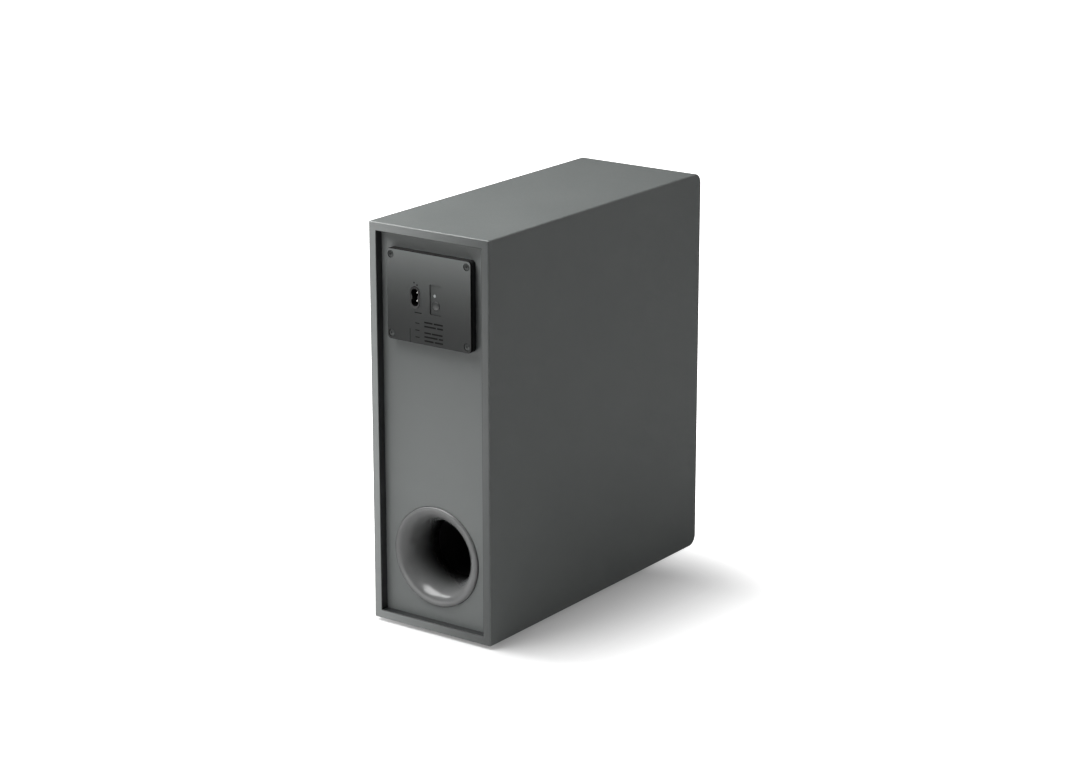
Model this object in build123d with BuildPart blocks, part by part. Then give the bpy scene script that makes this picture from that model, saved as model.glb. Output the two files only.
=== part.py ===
from build123d import *
import math
import os

# Slim wireless subwoofer: a wrapped fibreboard cabinet with a side-firing woofer, a rear reflex
# port and a rear amplifier. Millimetres, +Z up, the origin on the floor under the middle of the
# whole box, grille included. The front faces -Y, the back +Y, and the woofer fires towards +X.

# Cabinet
cabinet_width = 145.0
cabinet_depth = 372.0
cabinet_height = 410.0
board = 9.0
front_board = 12.0
front_edge_radius = 11.0
edge_radius = 1.2
rim_radius = 0.7
back_recess = 9.0
cleat = 12.0

# Feet
foot_height = 3.5
foot_radius = 10.0
foot_inset = 24.0
foot_edge = 0.8

# Brace behind the woofer
brace_gap = 74.0
brace_rail = 14.0
brace_corner = 8.0
glue_gap = 0.3

# Reflex port
port_from_bottom = 76.0
port_bore_radius = 32.0
port_wall = 2.4
port_lip_radius = 49.0
port_flange_radius = 51.2
port_flare_length = 33.0
port_lip_proud = 2.2
port_flange = 2.5
port_groove = 0.9
port_hole_gap = 0.8
port_spigot = 12.0
port_tube_wall = 2.2
port_tube_length = 185.0
port_tube_gap = 0.2
port_tube_start_gap = 1.0
inner_flare_radius = 42.0
inner_flare_length = 18.0

# Amplifier
plate_width = 102.0
plate_height = 91.0
plate_from_top = 69.0
plate_corner = 4.0
plate_thickness = 2.0
plate_edge = 0.4
collar_depth = 5.5
gasket = 1.0
tray_width = 86.0
tray_height = 75.0
tray_corner = 7.5
tray_depth = 64.0
tray_wall = 2.0
cut_gap = 1.0
screw_pitch_x = 92.0
screw_pitch_z = 79.0
plate_screw_shank = 1.6
plate_screw_head = 3.4
plate_screw_head_height = 2.2
plate_screw_dome = 0.8
plate_sink = 1.0
plate_screw_length = 20.0
screw_gap = 0.3
thread_bite = 0.2
cross_slot_width = 0.8
cross_slot_length = 3.6
cross_slot_depth = 1.0

# Mains inlet, upright, with two pins
inlet_x = 16.6
inlet_from_top = 68.7
inlet_width = 12.0
inlet_height = 22.0
inlet_proud = 0.3
inlet_depth = 19.5
inlet_cavity_width = 8.8
inlet_cavity_depth = 15.0
inlet_waist = 6.3
inlet_flange = 2.5
inlet_flange_thickness = 1.5
inlet_gap = 0.2
pin_pitch = 8.6
pin_radius = 1.2
pin_recess = 3.2
pin_tail = 6.0
pin_chamfer = 0.4

# Button and light
panel_x = -8.5
panel_from_top = 68.0
panel_width = 14.0
panel_height = 30.0
panel_corner = 1.5
panel_depth = 0.9
button_drop = 6.0
button_radius = 4.2
button_gap = 0.3
button_proud = 0.9
button_dome = 0.7
button_flange_radius = 5.6
button_flange = 1.2
button_stem_radius = 1.7
button_travel = 0.5
light_rise = 4.0
light_x = -6.8
light_radius = 1.4
light_gap = 0.1
light_proud = 0.2
control_width = 26.0
control_height = 34.0
control_board_thickness = 1.2
control_board_depth = 9.5
control_post_radius = 2.4
control_post_inset = 2.9
switch_size = 6.0
switch_height = 3.5
switch_bore = 2.4
plunger_radius = 1.6
plunger_length = 2.2
plunger_gap = 0.15
led_size = 2.0
led_height = 0.9

# Electronics in the amplifier tray
board_width = 78.0
board_height = 66.0
board_thickness = 1.6
standoff_height = 5.0
standoff_radius = 3.0
standoff_inset = 5.0
board_screw_radius = 1.2
board_screw_head = 2.6
board_screw_head_height = 1.6
board_screw_bite = 4.0
transformer_width = 26.0
transformer_height = 22.0
transformer_depth = 20.0
transformer_core = 7.0
transformer_reveal = 1.5
capacitor_radius = 6.5
capacitor_height = 25.0
capacitor_pitch = 14.5
capacitor_edge = 0.8
chip_width = 12.0
chip_height = 12.0
chip_thickness = 1.5
sink_width = 28.0
sink_height = 22.0
sink_base = 3.0
sink_fin_height = 12.0
sink_fin_thickness = 1.4
sink_fins = 6
module_width = 14.0
module_height = 20.0
module_board = 1.0
module_can = 2.4
module_can_width = 12.0
module_can_height = 13.0
module_can_rise = 2.5
module_header = 2.0
module_lift = 3.0
connector_width = 8.0
connector_height = 12.0
connector_depth = 7.0
cable_x = 16.0
cable_below = -24.0
cable_reach = 8.0
cable_lift = 3.5

# Woofer, measured outwards from the cabinet's side
woofer_y = -30.0
woofer_from_bottom = 218.5
woofer_radius = 102.0
rebate_depth = 4.0
rebate_gap = 0.6
seal_thickness = 0.8
basket_sheet = 1.2
basket_wall_radius = 89.0
basket_hole_gap = 1.6
basket_waist_radius = 68.0
basket_waist_depth = 42.0
spider_seat_radius = 56.0
basket_neck_radius = 50.0
basket_depth = 56.0
basket_arms = 6
basket_window = 54.0
basket_window_rise = 33.2
basket_mouth_radius = 24.0
woofer_screws_count = 8
woofer_screw_circle = 97.0
woofer_screw_radius = 2.0
woofer_screw_head = 3.9
woofer_screw_head_height = 1.8
woofer_screw_length = 7.0
trim_inner = 86.0
trim_outer = 92.0
trim_height = 1.2
top_plate_radius = 45.0
top_plate_thickness = 6.0
magnet_radius = 50.0
magnet_inner = 26.0
magnet_thickness = 16.0
magnet_chamfer = 0.6
back_plate_thickness = 6.0
pole_radius = 18.3
pole_vent_radius = 6.0
gap_radius = 21.4
former_radius = 19.2
former_wall = 0.3
former_length = 39.5
coil_wall = 0.9
coil_length = 14.0
coil_end_gap = 0.5
cone_land = 3.0
cone_edge_depth = 2.8
cone_neck_depth = 32.0
cone_wall = 0.9
cone_belly = 3.0
dust_cap_radius = 26.0
dust_cap_rise = 5.0
dust_cap_wall = 0.7
surround_land = 5.5
surround_wall = 0.8
surround_roll = 7.0
soft_gap = 0.3
spider_wall = 0.6
spider_wave = 1.6
spider_waves = 5
strip_width = 16.0
strip_depth = 8.0
strip_thickness = 2.0
strip_radius = 85.8
strip_gap = 0.5
tab_width = 4.8
tab_thickness = 0.8
tab_length = 7.0
lead_radius = 0.7
lead_clear = 1.2
lead_slot_rise = 8.0
lead_slot_height = 16.0

# Woofer grille
grille_radius = 118.0
grille_height = 9.0
cloth_thickness = 0.8
cloth_gap = 0.1
grille_shoulder = 3.5
grille_ring_width = 9.0
grille_rib_width = 3.0
grille_rib_height = 2.4
grille_rings = 3
grille_spokes = 6
peg_count = 6
peg_circle = 112.0
peg_radius = 2.5
peg_length = 7.0
peg_chamfer = 0.5
cup_radius = 4.0
cup_depth = 8.2
cup_gap = 0.1

# Wiring and wadding
cable_radius = 1.9
inlet_lead_radius = 1.0
control_lead_radius = 1.5
wadding_thickness = 14.0
wadding_depth = 210.0
wadding_height = 250.0
wadding_radius = 6.0
wadding_corner = 16.0
wadding_middle_y = -45.0
wadding_rise = 46.0
wadding_gap = 0.4

# Planes and centres that the pieces share
middle_x = -grille_height / 2
side_x = middle_x + cabinet_width / 2
left_x = middle_x - cabinet_width / 2
rear_y = cabinet_depth / 2
front_y = -rear_y
floor_z = foot_height
top_z = foot_height + cabinet_height
middle_z = (floor_z + top_z) / 2
inner_width = cabinet_width - 2 * board
inner_height = cabinet_height - 2 * board
inner_front_y = front_y + front_board
panel_y = rear_y - back_recess
panel_inner_y = panel_y - board
port_z = floor_z + port_from_bottom
plate_z = top_z - plate_from_top
inlet_z = top_z - inlet_from_top
controls_z = top_z - panel_from_top
button_z = controls_z - button_drop
light_z = controls_z + light_rise
woofer_z = floor_z + woofer_from_bottom
brace_y = panel_inner_y - brace_gap

# Layers of the amplifier, from the back panel outwards
collar_y = panel_y + gasket
plate_inner_y = collar_y + collar_depth
plate_y = plate_inner_y + plate_thickness
recess_y = plate_y - panel_depth
tray_end_y = panel_y - tray_depth
tray_floor_y = tray_end_y + tray_wall
main_board_y = tray_floor_y + standoff_height
main_face_y = main_board_y + board_thickness
control_face_y = plate_inner_y - control_board_depth

# The flare's inside and outside are quarter ellipses round one centre
flare_rise = port_flare_length + port_lip_proud
flare_reach = port_lip_radius - port_bore_radius
outer_rise = flare_rise - port_wall
outer_reach = flare_reach - port_wall
meets_flange = 180 - math.degrees(math.asin((port_flare_length - port_flange) / outer_rise))
flange_inner = port_lip_radius + outer_reach * math.cos(math.radians(meets_flange))

woofer_axis = Axis((side_x, woofer_y, woofer_z), (1, 0, 0))
port_axis = Axis((middle_x, panel_y, port_z), (0, 1, 0))


def side_plane(outwards):
    """The woofer's own plane, that far outwards from the cabinet's side."""
    return Plane((side_x + outwards, woofer_y, woofer_z), x_dir=(0, 1, 0), z_dir=(1, 0, 0))


def rear_plane(y, x=0.0, z=0.0):
    """A plane that faces backwards, with x from the cabinet's middle, and its own x towards -X."""
    return Plane((middle_x + x, y, z), x_dir=(-1, 0, 0), z_dir=(0, 1, 0))


woofer_section = Plane((side_x, woofer_y, woofer_z), x_dir=(0, 1, 0), z_dir=(0, 0, -1))
port_section = Plane((middle_x, panel_y, port_z), x_dir=(1, 0, 0), z_dir=(0, 0, 1))


def route_radii(points):
    """The largest tangent arcs that the runs of a cable's route have room for."""
    radii = []
    for before, corner, after in zip(points, points[1:], points[2:]):
        incoming = Vector(*corner) - Vector(*before)
        outgoing = Vector(*after) - Vector(*corner)
        turn = math.radians(incoming.get_angle(outgoing))
        shorter = min(incoming.length, outgoing.length)
        radii.append(0.45 * shorter / math.tan(turn / 2))
    return radii


def finish(builder, name):
    """Label a finished piece and write it to its own file."""
    builder.part.label = name
    export_step(builder.part, f"parts/{name}.step")


os.makedirs("parts", exist_ok=True)

# ---------------------------------------------------------------------------------------------
# Cabinet: one wrapped shell, parted along its mitres and behind the front board
# ---------------------------------------------------------------------------------------------
with BuildPart() as cabinet_shell:
    with BuildSketch(Plane.YZ.offset(left_x)) as side_outline:
        with Locations((0, middle_z)):
            Rectangle(cabinet_depth, cabinet_height)
        fillet(side_outline.vertices().group_by(Axis.X)[0], front_edge_radius)
    extrude(amount=cabinet_width)
    side_faces = cabinet_shell.faces().filter_by(Axis.X)
    rear_edges = cabinet_shell.faces().sort_by(Axis.Y)[-1].edges().filter_by(Axis.X)
    fillet(side_faces.edges() + rear_edges, edge_radius)
    with BuildSketch(rear_plane(rear_y, z=middle_z)):
        Rectangle(inner_width, inner_height)
    extrude(amount=front_board - cabinet_depth, mode=Mode.SUBTRACT)
    rim = cabinet_shell.faces().sort_by(Axis.Y)[-1].inner_wires()[0]
    fillet(rim.edges(), rim_radius)

front_joint = Plane((0, inner_front_y, middle_z), z_dir=(0, 1, 0))
centre_joint = Plane((middle_x, 0, middle_z), z_dir=(1, 0, 0))
mitre_top_right = Plane((side_x, 0, top_z), z_dir=(-1, 0, 1))
mitre_top_left = Plane((left_x, 0, top_z), z_dir=(1, 0, 1))
mitre_bottom_right = Plane((side_x, 0, floor_z), z_dir=(-1, 0, -1))
mitre_bottom_left = Plane((left_x, 0, floor_z), z_dir=(1, 0, -1))

with BuildPart() as front_panel:
    add(cabinet_shell.part)
    split(bisect_by=front_joint, keep=Keep.BOTTOM)
finish(front_panel, "front_panel")

with BuildPart() as top_panel:
    add(cabinet_shell.part)
    split(bisect_by=front_joint, keep=Keep.TOP)
    split(bisect_by=mitre_top_right, keep=Keep.TOP)
    split(bisect_by=mitre_top_left, keep=Keep.TOP)
finish(top_panel, "top_panel")

with BuildPart() as bottom_panel:
    add(cabinet_shell.part)
    split(bisect_by=front_joint, keep=Keep.TOP)
    split(bisect_by=mitre_bottom_right, keep=Keep.TOP)
    split(bisect_by=mitre_bottom_left, keep=Keep.TOP)
finish(bottom_panel, "bottom_panel")

with BuildPart() as left_side_panel:
    add(cabinet_shell.part)
    split(bisect_by=front_joint, keep=Keep.TOP)
    split(bisect_by=centre_joint, keep=Keep.BOTTOM)
    split(bisect_by=mitre_top_left, keep=Keep.BOTTOM)
    split(bisect_by=mitre_bottom_left, keep=Keep.BOTTOM)
finish(left_side_panel, "left_side_panel")

with BuildPart() as right_side_panel:
    add(cabinet_shell.part)
    split(bisect_by=front_joint, keep=Keep.TOP)
    split(bisect_by=centre_joint, keep=Keep.TOP)
    split(bisect_by=mitre_top_right, keep=Keep.BOTTOM)
    split(bisect_by=mitre_bottom_right, keep=Keep.BOTTOM)
    # the woofer's opening, with a rebate that its flange lies in
    with BuildSketch(side_plane(0)):
        Circle(basket_wall_radius + basket_hole_gap)
    extrude(amount=-board, mode=Mode.SUBTRACT)
    with BuildSketch(side_plane(0)):
        Circle(woofer_radius + rebate_gap)
    extrude(amount=-rebate_depth, mode=Mode.SUBTRACT)
    # pilot holes for the woofer's screws, and holes for the grille's rubber cups
    with BuildSketch(side_plane(-rebate_depth)):
        with PolarLocations(woofer_screw_circle, woofer_screws_count):
            Circle(woofer_screw_radius - thread_bite)
    extrude(amount=-board, mode=Mode.SUBTRACT)
    with BuildSketch(side_plane(0)):
        with PolarLocations(peg_circle, peg_count):
            Circle(cup_radius)
    extrude(amount=-cup_depth, mode=Mode.SUBTRACT)
finish(right_side_panel, "right_side_panel")

with BuildPart() as back_panel:
    with BuildSketch(rear_plane(panel_y, z=middle_z)):
        Rectangle(inner_width, inner_height)
    extrude(amount=-board)
    with BuildSketch(rear_plane(panel_y, z=plate_z)) as amplifier_opening:
        RectangleRounded(tray_width + 2 * cut_gap, tray_height + 2 * cut_gap, tray_corner + cut_gap)
    extrude(amount=-board, mode=Mode.SUBTRACT)
    with BuildSketch(rear_plane(panel_y, z=plate_z)):
        with GridLocations(screw_pitch_x, screw_pitch_z, 2, 2):
            Circle(plate_screw_shank - thread_bite)
    extrude(amount=-board, mode=Mode.SUBTRACT)
    with BuildSketch(rear_plane(panel_y, z=port_z)):
        Circle(flange_inner + port_hole_gap)
    extrude(amount=-board, mode=Mode.SUBTRACT)
    with BuildSketch(rear_plane(panel_y, z=port_z)):
        Circle(port_flange_radius + port_groove)
    extrude(amount=-port_flange, mode=Mode.SUBTRACT)
finish(back_panel, "back_panel")

# Softwood strips glued into the corners hold the back and front boards
with BuildPart() as rear_cleats:
    with BuildSketch(rear_plane(panel_inner_y, z=middle_z)):
        with GridLocations(inner_width - cleat, 1, 2, 1):
            Rectangle(cleat, inner_height)
    extrude(amount=-cleat)
    with BuildSketch(rear_plane(panel_inner_y, z=middle_z)):
        with GridLocations(1, inner_height - cleat, 1, 2):
            Rectangle(inner_width - 2 * cleat - 2 * glue_gap, cleat)
    extrude(amount=-cleat)
finish(rear_cleats, "rear_cleats")

with BuildPart() as front_cleats:
    with BuildSketch(rear_plane(inner_front_y, z=middle_z)):
        with GridLocations(inner_width - cleat, 1, 2, 1):
            Rectangle(cleat, inner_height)
    extrude(amount=cleat)
    with BuildSketch(rear_plane(inner_front_y, z=middle_z)):
        with GridLocations(1, inner_height - cleat, 1, 2):
            Rectangle(inner_width - 2 * cleat - 2 * glue_gap, cleat)
    extrude(amount=cleat)
finish(front_cleats, "front_cleats")

# A window brace stiffens the long sides and carries the port tube
port_tube_inner = port_bore_radius + port_wall + port_tube_gap
port_tube_outer = port_tube_inner + port_tube_wall
window_width = inner_width - 2 * brace_rail
window_bottom = port_z + port_tube_outer + brace_rail
window_top = top_z - board - brace_rail
window_height = (window_top - window_bottom - brace_rail) / 2
with BuildPart() as window_brace:
    with BuildSketch(rear_plane(brace_y, z=middle_z)):
        Rectangle(inner_width, inner_height)
    extrude(amount=-board)
    with BuildSketch(rear_plane(brace_y)):
        with Locations((0, window_bottom + window_height / 2), (0, window_top - window_height / 2)):
            RectangleRounded(window_width, window_height, brace_corner)
        with Locations((0, port_z)):
            Circle(port_tube_outer + glue_gap)
    extrude(amount=-board, mode=Mode.SUBTRACT)
finish(window_brace, "window_brace")

with BuildPart() as rubber_feet:
    foot_span_x = cabinet_width - 2 * foot_inset
    foot_span_y = cabinet_depth - 2 * foot_inset
    with BuildSketch(Plane((middle_x, 0, 0))):
        with GridLocations(foot_span_x, foot_span_y, 2, 2):
            Circle(foot_radius)
    extrude(amount=foot_height)
    fillet(rubber_feet.edges().group_by(Axis.Z)[0], foot_edge)
finish(rubber_feet, "rubber_feet")

# ---------------------------------------------------------------------------------------------
# Reflex port: a flared mouth in the back panel, a straight tube, and a flared inner end
# ---------------------------------------------------------------------------------------------
with BuildPart() as port_flare:
    with BuildSketch(port_section):
        with BuildLine():
            mouth = EllipticalCenterArc(
                (port_lip_radius, -port_flare_length), flare_reach, flare_rise, 90, arc_size=90
            )
            lip = JernArc(mouth @ 0, (1, 0), port_lip_proud, -90)
            drop = Line(lip @ 1, ((lip @ 1).X, -port_flange))
            under = Line(drop @ 1, (flange_inner, -port_flange))
            outside = EllipticalCenterArc(
                (port_lip_radius, -port_flare_length),
                outer_reach,
                outer_rise,
                meets_flange,
                arc_size=180 - meets_flange,
            )
            Polyline(
                outside @ 1,
                (port_bore_radius + port_wall, -port_flare_length - port_spigot),
                (port_bore_radius, -port_flare_length - port_spigot),
                mouth @ 1,
            )
        make_face()
    revolve(axis=port_axis)
finish(port_flare, "port_flare")

tube_start = -port_flare_length - port_tube_start_gap
tube_end = tube_start - port_tube_length
with BuildPart() as port_tube:
    with BuildSketch(rear_plane(panel_y + tube_start, z=port_z)):
        Circle(port_tube_outer)
        Circle(port_tube_inner, mode=Mode.SUBTRACT)
    extrude(amount=-port_tube_length)
finish(port_tube, "port_tube")

inner_reach = inner_flare_radius - port_bore_radius
with BuildPart() as port_inner_flare:
    with BuildSketch(port_section):
        with BuildLine():
            bell = EllipticalCenterArc(
                (inner_flare_radius, tube_end), inner_reach, inner_flare_length, 180, arc_size=90
            )
            Polyline(
                bell @ 0,
                (port_bore_radius, tube_end + port_spigot),
                (port_bore_radius + port_wall, tube_end + port_spigot),
                (port_bore_radius + port_wall, tube_end),
            )
            outer_bell = EllipticalCenterArc(
                (inner_flare_radius, tube_end),
                inner_reach - port_wall,
                inner_flare_length - port_wall,
                180,
                arc_size=90,
            )
            Line(outer_bell @ 1, bell @ 1)
        make_face()
    revolve(axis=port_axis)
finish(port_inner_flare, "port_inner_flare")

# ---------------------------------------------------------------------------------------------
# Amplifier: a sealed tray through the back panel, closed by the plate with the controls
# ---------------------------------------------------------------------------------------------
with BuildPart() as amp_gasket:
    with BuildSketch(rear_plane(panel_y, z=plate_z)):
        RectangleRounded(plate_width - 2 * plate_edge, plate_height - 2 * plate_edge, plate_corner)
        RectangleRounded(
            tray_width + 2 * cut_gap, tray_height + 2 * cut_gap, tray_corner + cut_gap, mode=Mode.SUBTRACT
        )
        with GridLocations(screw_pitch_x, screw_pitch_z, 2, 2):
            Circle(plate_screw_shank + screw_gap, mode=Mode.SUBTRACT)
    extrude(amount=gasket)
finish(amp_gasket, "amp_gasket")

board_holes_x = board_width - 2 * standoff_inset
board_holes_z = board_height - 2 * standoff_inset
with BuildPart() as amp_tray:
    with BuildSketch(rear_plane(collar_y, z=plate_z)):
        RectangleRounded(plate_width, plate_height, plate_corner)
    extrude(amount=collar_depth)
    with BuildSketch(rear_plane(tray_end_y, z=plate_z)):
        RectangleRounded(tray_width, tray_height, tray_corner)
    extrude(amount=collar_y - tray_end_y)
    with BuildSketch(rear_plane(tray_floor_y, z=plate_z)):
        RectangleRounded(
            tray_width - 2 * tray_wall, tray_height - 2 * tray_wall, tray_corner - tray_wall
        )
    extrude(amount=plate_inner_y - tray_floor_y, mode=Mode.SUBTRACT)
    with BuildSketch(rear_plane(collar_y, z=plate_z)):
        with GridLocations(screw_pitch_x, screw_pitch_z, 2, 2):
            Circle(plate_screw_shank + screw_gap)
    extrude(amount=collar_depth, mode=Mode.SUBTRACT)
    # standoffs for the main board, with pilot holes for its screws
    with BuildSketch(rear_plane(tray_floor_y, z=plate_z)):
        with GridLocations(board_holes_x, board_holes_z, 2, 2):
            Circle(standoff_radius)
    extrude(amount=standoff_height)
    with BuildSketch(rear_plane(main_board_y, z=plate_z)):
        with GridLocations(board_holes_x, board_holes_z, 2, 2):
            Circle(board_screw_radius - thread_bite)
    extrude(amount=-board_screw_bite, mode=Mode.SUBTRACT)
    # the hole that the woofer's cable leaves by
    with BuildSketch(rear_plane(tray_end_y, x=cable_x, z=plate_z + cable_below)):
        Circle(cable_radius)
    extrude(amount=tray_wall, mode=Mode.SUBTRACT)
finish(amp_tray, "amp_tray")

with BuildPart() as amp_plate:
    with BuildSketch(rear_plane(plate_inner_y, z=plate_z)):
        RectangleRounded(plate_width, plate_height, plate_corner)
    extrude(amount=plate_thickness)
    chamfer(amp_plate.faces().sort_by(Axis.Y)[-1].edges(), plate_edge)
    with BuildSketch(rear_plane(plate_y, x=panel_x, z=controls_z)):
        RectangleRounded(panel_width, panel_height, panel_corner)
    extrude(amount=-panel_depth, mode=Mode.SUBTRACT)
    with BuildSketch(rear_plane(plate_inner_y)):
        with Locations((-inlet_x, inlet_z)):
            SlotOverall(inlet_height + 2 * inlet_gap, inlet_width + 2 * inlet_gap, rotation=90)
        with Locations((-panel_x, button_z)):
            Circle(button_radius + button_gap)
        with Locations((-light_x, light_z)):
            Circle(light_radius + light_gap)
    extrude(amount=plate_thickness, mode=Mode.SUBTRACT)
    # countersinks for the corner screws
    with BuildSketch(rear_plane(plate_inner_y, z=plate_z)):
        with GridLocations(screw_pitch_x, screw_pitch_z, 2, 2):
            Circle(plate_screw_shank + screw_gap)
    extrude(amount=plate_thickness, mode=Mode.SUBTRACT)
    with BuildSketch(rear_plane(plate_y, z=plate_z)):
        with GridLocations(screw_pitch_x, screw_pitch_z, 2, 2):
            Circle(plate_screw_head + screw_gap)
    extrude(amount=-plate_sink, mode=Mode.SUBTRACT)
finish(amp_plate, "amp_plate")

# Pan-head screws with crossed slots, sunk halfway into the plate
screw_seat_y = plate_y - plate_sink
screw_top_y = screw_seat_y + plate_screw_head_height / 2
with BuildPart() as amp_screws:
    with BuildSketch(rear_plane(screw_seat_y, z=plate_z)):
        with GridLocations(screw_pitch_x, screw_pitch_z, 2, 2):
            Circle(plate_screw_head)
    extrude(amount=plate_screw_head_height / 2)
    fillet(amp_screws.edges().group_by(Axis.Y)[-1], plate_screw_dome)
    with BuildSketch(rear_plane(screw_seat_y, z=plate_z)):
        with GridLocations(screw_pitch_x, screw_pitch_z, 2, 2):
            Circle(plate_screw_shank)
    extrude(amount=-plate_screw_length + plate_screw_head_height)
    with BuildSketch(rear_plane(screw_top_y, z=plate_z)):
        with GridLocations(screw_pitch_x, screw_pitch_z, 2, 2):
            Rectangle(cross_slot_length, cross_slot_width)
            Rectangle(cross_slot_width, cross_slot_length)
    extrude(amount=-cross_slot_depth, mode=Mode.SUBTRACT)
finish(amp_screws, "amp_screws")

with BuildPart() as ac_inlet:
    with BuildSketch(rear_plane(plate_y + inlet_proud)):
        with Locations((-inlet_x, inlet_z)):
            SlotOverall(inlet_height, inlet_width, rotation=90)
    extrude(amount=-inlet_depth)
    with BuildSketch(rear_plane(plate_inner_y - inlet_gap)):
        with Locations((-inlet_x, inlet_z)):
            Rectangle(inlet_width + 2 * inlet_flange, inlet_height + 2 * inlet_flange)
    extrude(amount=-inlet_flange_thickness)
    # a figure-of-eight cavity round the two pins
    with BuildSketch(rear_plane(plate_y + inlet_proud)):
        with Locations((-inlet_x, inlet_z - pin_pitch / 2), (-inlet_x, inlet_z + pin_pitch / 2)):
            Circle(inlet_cavity_width / 2)
        with Locations((-inlet_x, inlet_z)):
            Rectangle(inlet_waist, pin_pitch)
    extrude(amount=-inlet_cavity_depth, mode=Mode.SUBTRACT)
    with BuildSketch(rear_plane(plate_y)):
        with Locations((-inlet_x, inlet_z - pin_pitch / 2), (-inlet_x, inlet_z + pin_pitch / 2)):
            Circle(pin_radius)
    extrude(amount=-inlet_depth, mode=Mode.SUBTRACT)
finish(ac_inlet, "ac_inlet")

with BuildPart() as inlet_pins:
    with BuildSketch(rear_plane(plate_y + inlet_proud - pin_recess)):
        with Locations((-inlet_x, inlet_z - pin_pitch / 2), (-inlet_x, inlet_z + pin_pitch / 2)):
            Circle(pin_radius)
    extrude(amount=pin_recess - inlet_depth - pin_tail)
    chamfer(inlet_pins.edges().group_by(Axis.Y)[-1], pin_chamfer)
finish(inlet_pins, "inlet_pins")

# Pairing button: a domed cap, a flange that the plate retains, and a stem onto the switch
switch_face_y = control_face_y + switch_height
stem_end_y = switch_face_y + 2 * button_travel
button_top_y = recess_y + button_proud
with BuildPart() as pair_button:
    with BuildSketch(rear_plane(plate_inner_y - button_gap - button_flange, x=panel_x, z=button_z)):
        Circle(button_flange_radius)
    extrude(amount=button_flange)
    with BuildSketch(rear_plane(plate_inner_y - button_gap, x=panel_x, z=button_z)):
        Circle(button_radius)
    extrude(amount=button_top_y - plate_inner_y + button_gap)
    fillet(pair_button.edges().group_by(Axis.Y)[-1], button_dome)
    with BuildSketch(rear_plane(stem_end_y, x=panel_x, z=button_z)):
        Circle(button_stem_radius)
    extrude(amount=plate_inner_y - button_gap - button_flange - stem_end_y)
finish(pair_button, "pair_button")

with BuildPart() as switch_plunger:
    with BuildSketch(rear_plane(stem_end_y, x=panel_x, z=button_z)):
        Circle(plunger_radius)
    extrude(amount=-plunger_length)
finish(switch_plunger, "switch_plunger")

with BuildPart() as tact_switch:
    with BuildSketch(rear_plane(control_face_y, x=panel_x, z=button_z)):
        Rectangle(switch_size, switch_size)
    extrude(amount=switch_height)
    with BuildSketch(rear_plane(switch_face_y, x=panel_x, z=button_z)):
        Circle(plunger_radius + plunger_gap)
    extrude(amount=-switch_bore, mode=Mode.SUBTRACT)
finish(tact_switch, "tact_switch")

with BuildPart() as status_led:
    with BuildSketch(rear_plane(control_face_y, x=light_x, z=light_z)):
        Rectangle(led_size, led_size)
    extrude(amount=led_height)
finish(status_led, "status_led")

with BuildPart() as light_pipe:
    with BuildSketch(rear_plane(control_face_y + led_height, x=light_x, z=light_z)):
        Circle(light_radius)
    extrude(amount=recess_y + light_proud - control_face_y - led_height)
    fillet(light_pipe.edges().group_by(Axis.Y)[-1], light_proud)
finish(light_pipe, "light_pipe")

# The small board behind the button stands on two posts from the plate
with BuildPart() as control_board:
    with BuildSketch(rear_plane(control_face_y, x=panel_x, z=controls_z)):
        Rectangle(control_width, control_height)
    extrude(amount=-control_board_thickness)
finish(control_board, "control_board")

with BuildPart() as control_posts:
    with BuildSketch(rear_plane(control_face_y, x=panel_x, z=controls_z)):
        with GridLocations(0, control_height - 2 * control_post_inset, 1, 2):
            Circle(control_post_radius)
    extrude(amount=plate_inner_y - control_face_y)
finish(control_posts, "control_posts")

# ---------------------------------------------------------------------------------------------
# Main board in the tray, with its parts on the face towards the plate
# ---------------------------------------------------------------------------------------------
with BuildPart() as main_board:
    with BuildSketch(rear_plane(main_board_y, z=plate_z)):
        Rectangle(board_width, board_height)
        with GridLocations(board_holes_x, board_holes_z, 2, 2):
            Circle(board_screw_radius + screw_gap, mode=Mode.SUBTRACT)
        with Locations((-cable_x, cable_below)):
            Circle(cable_radius + screw_gap, mode=Mode.SUBTRACT)
    extrude(amount=board_thickness)
finish(main_board, "main_board")

with BuildPart() as board_screws:
    with BuildSketch(rear_plane(main_face_y, z=plate_z)):
        with GridLocations(board_holes_x, board_holes_z, 2, 2):
            Circle(board_screw_head)
    extrude(amount=board_screw_head_height)
    fillet(board_screws.edges().group_by(Axis.Y)[-1], board_screw_head_height / 2)
    with BuildSketch(rear_plane(main_face_y, z=plate_z)):
        with GridLocations(board_holes_x, board_holes_z, 2, 2):
            Circle(board_screw_radius)
    extrude(amount=-board_screw_bite)
finish(board_screws, "board_screws")

# where the parts stand on the board, from its middle, in the board's own directions
transformer_at = (22.0, 14.0)
sink_at = (19.0, -14.0)
capacitors_at = (-22.0, 19.0)
module_at = (-27.0, -15.0)
connector_at = (-cable_x + cable_reach + connector_width / 2, cable_below)

with BuildPart() as transformer:
    with BuildSketch(rear_plane(main_face_y, z=plate_z)):
        with Locations(transformer_at):
            Rectangle(transformer_width, transformer_height)
    extrude(amount=transformer_depth)
    # the winding shows between the core's two legs
    with BuildSketch(rear_plane(main_face_y + transformer_core, z=plate_z)):
        with Locations(transformer_at):
            with GridLocations(0, transformer_height, 1, 2):
                Rectangle(transformer_width - transformer_core, transformer_reveal)
    extrude(amount=transformer_depth - 2 * transformer_core, mode=Mode.SUBTRACT)
finish(transformer, "transformer")

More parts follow.
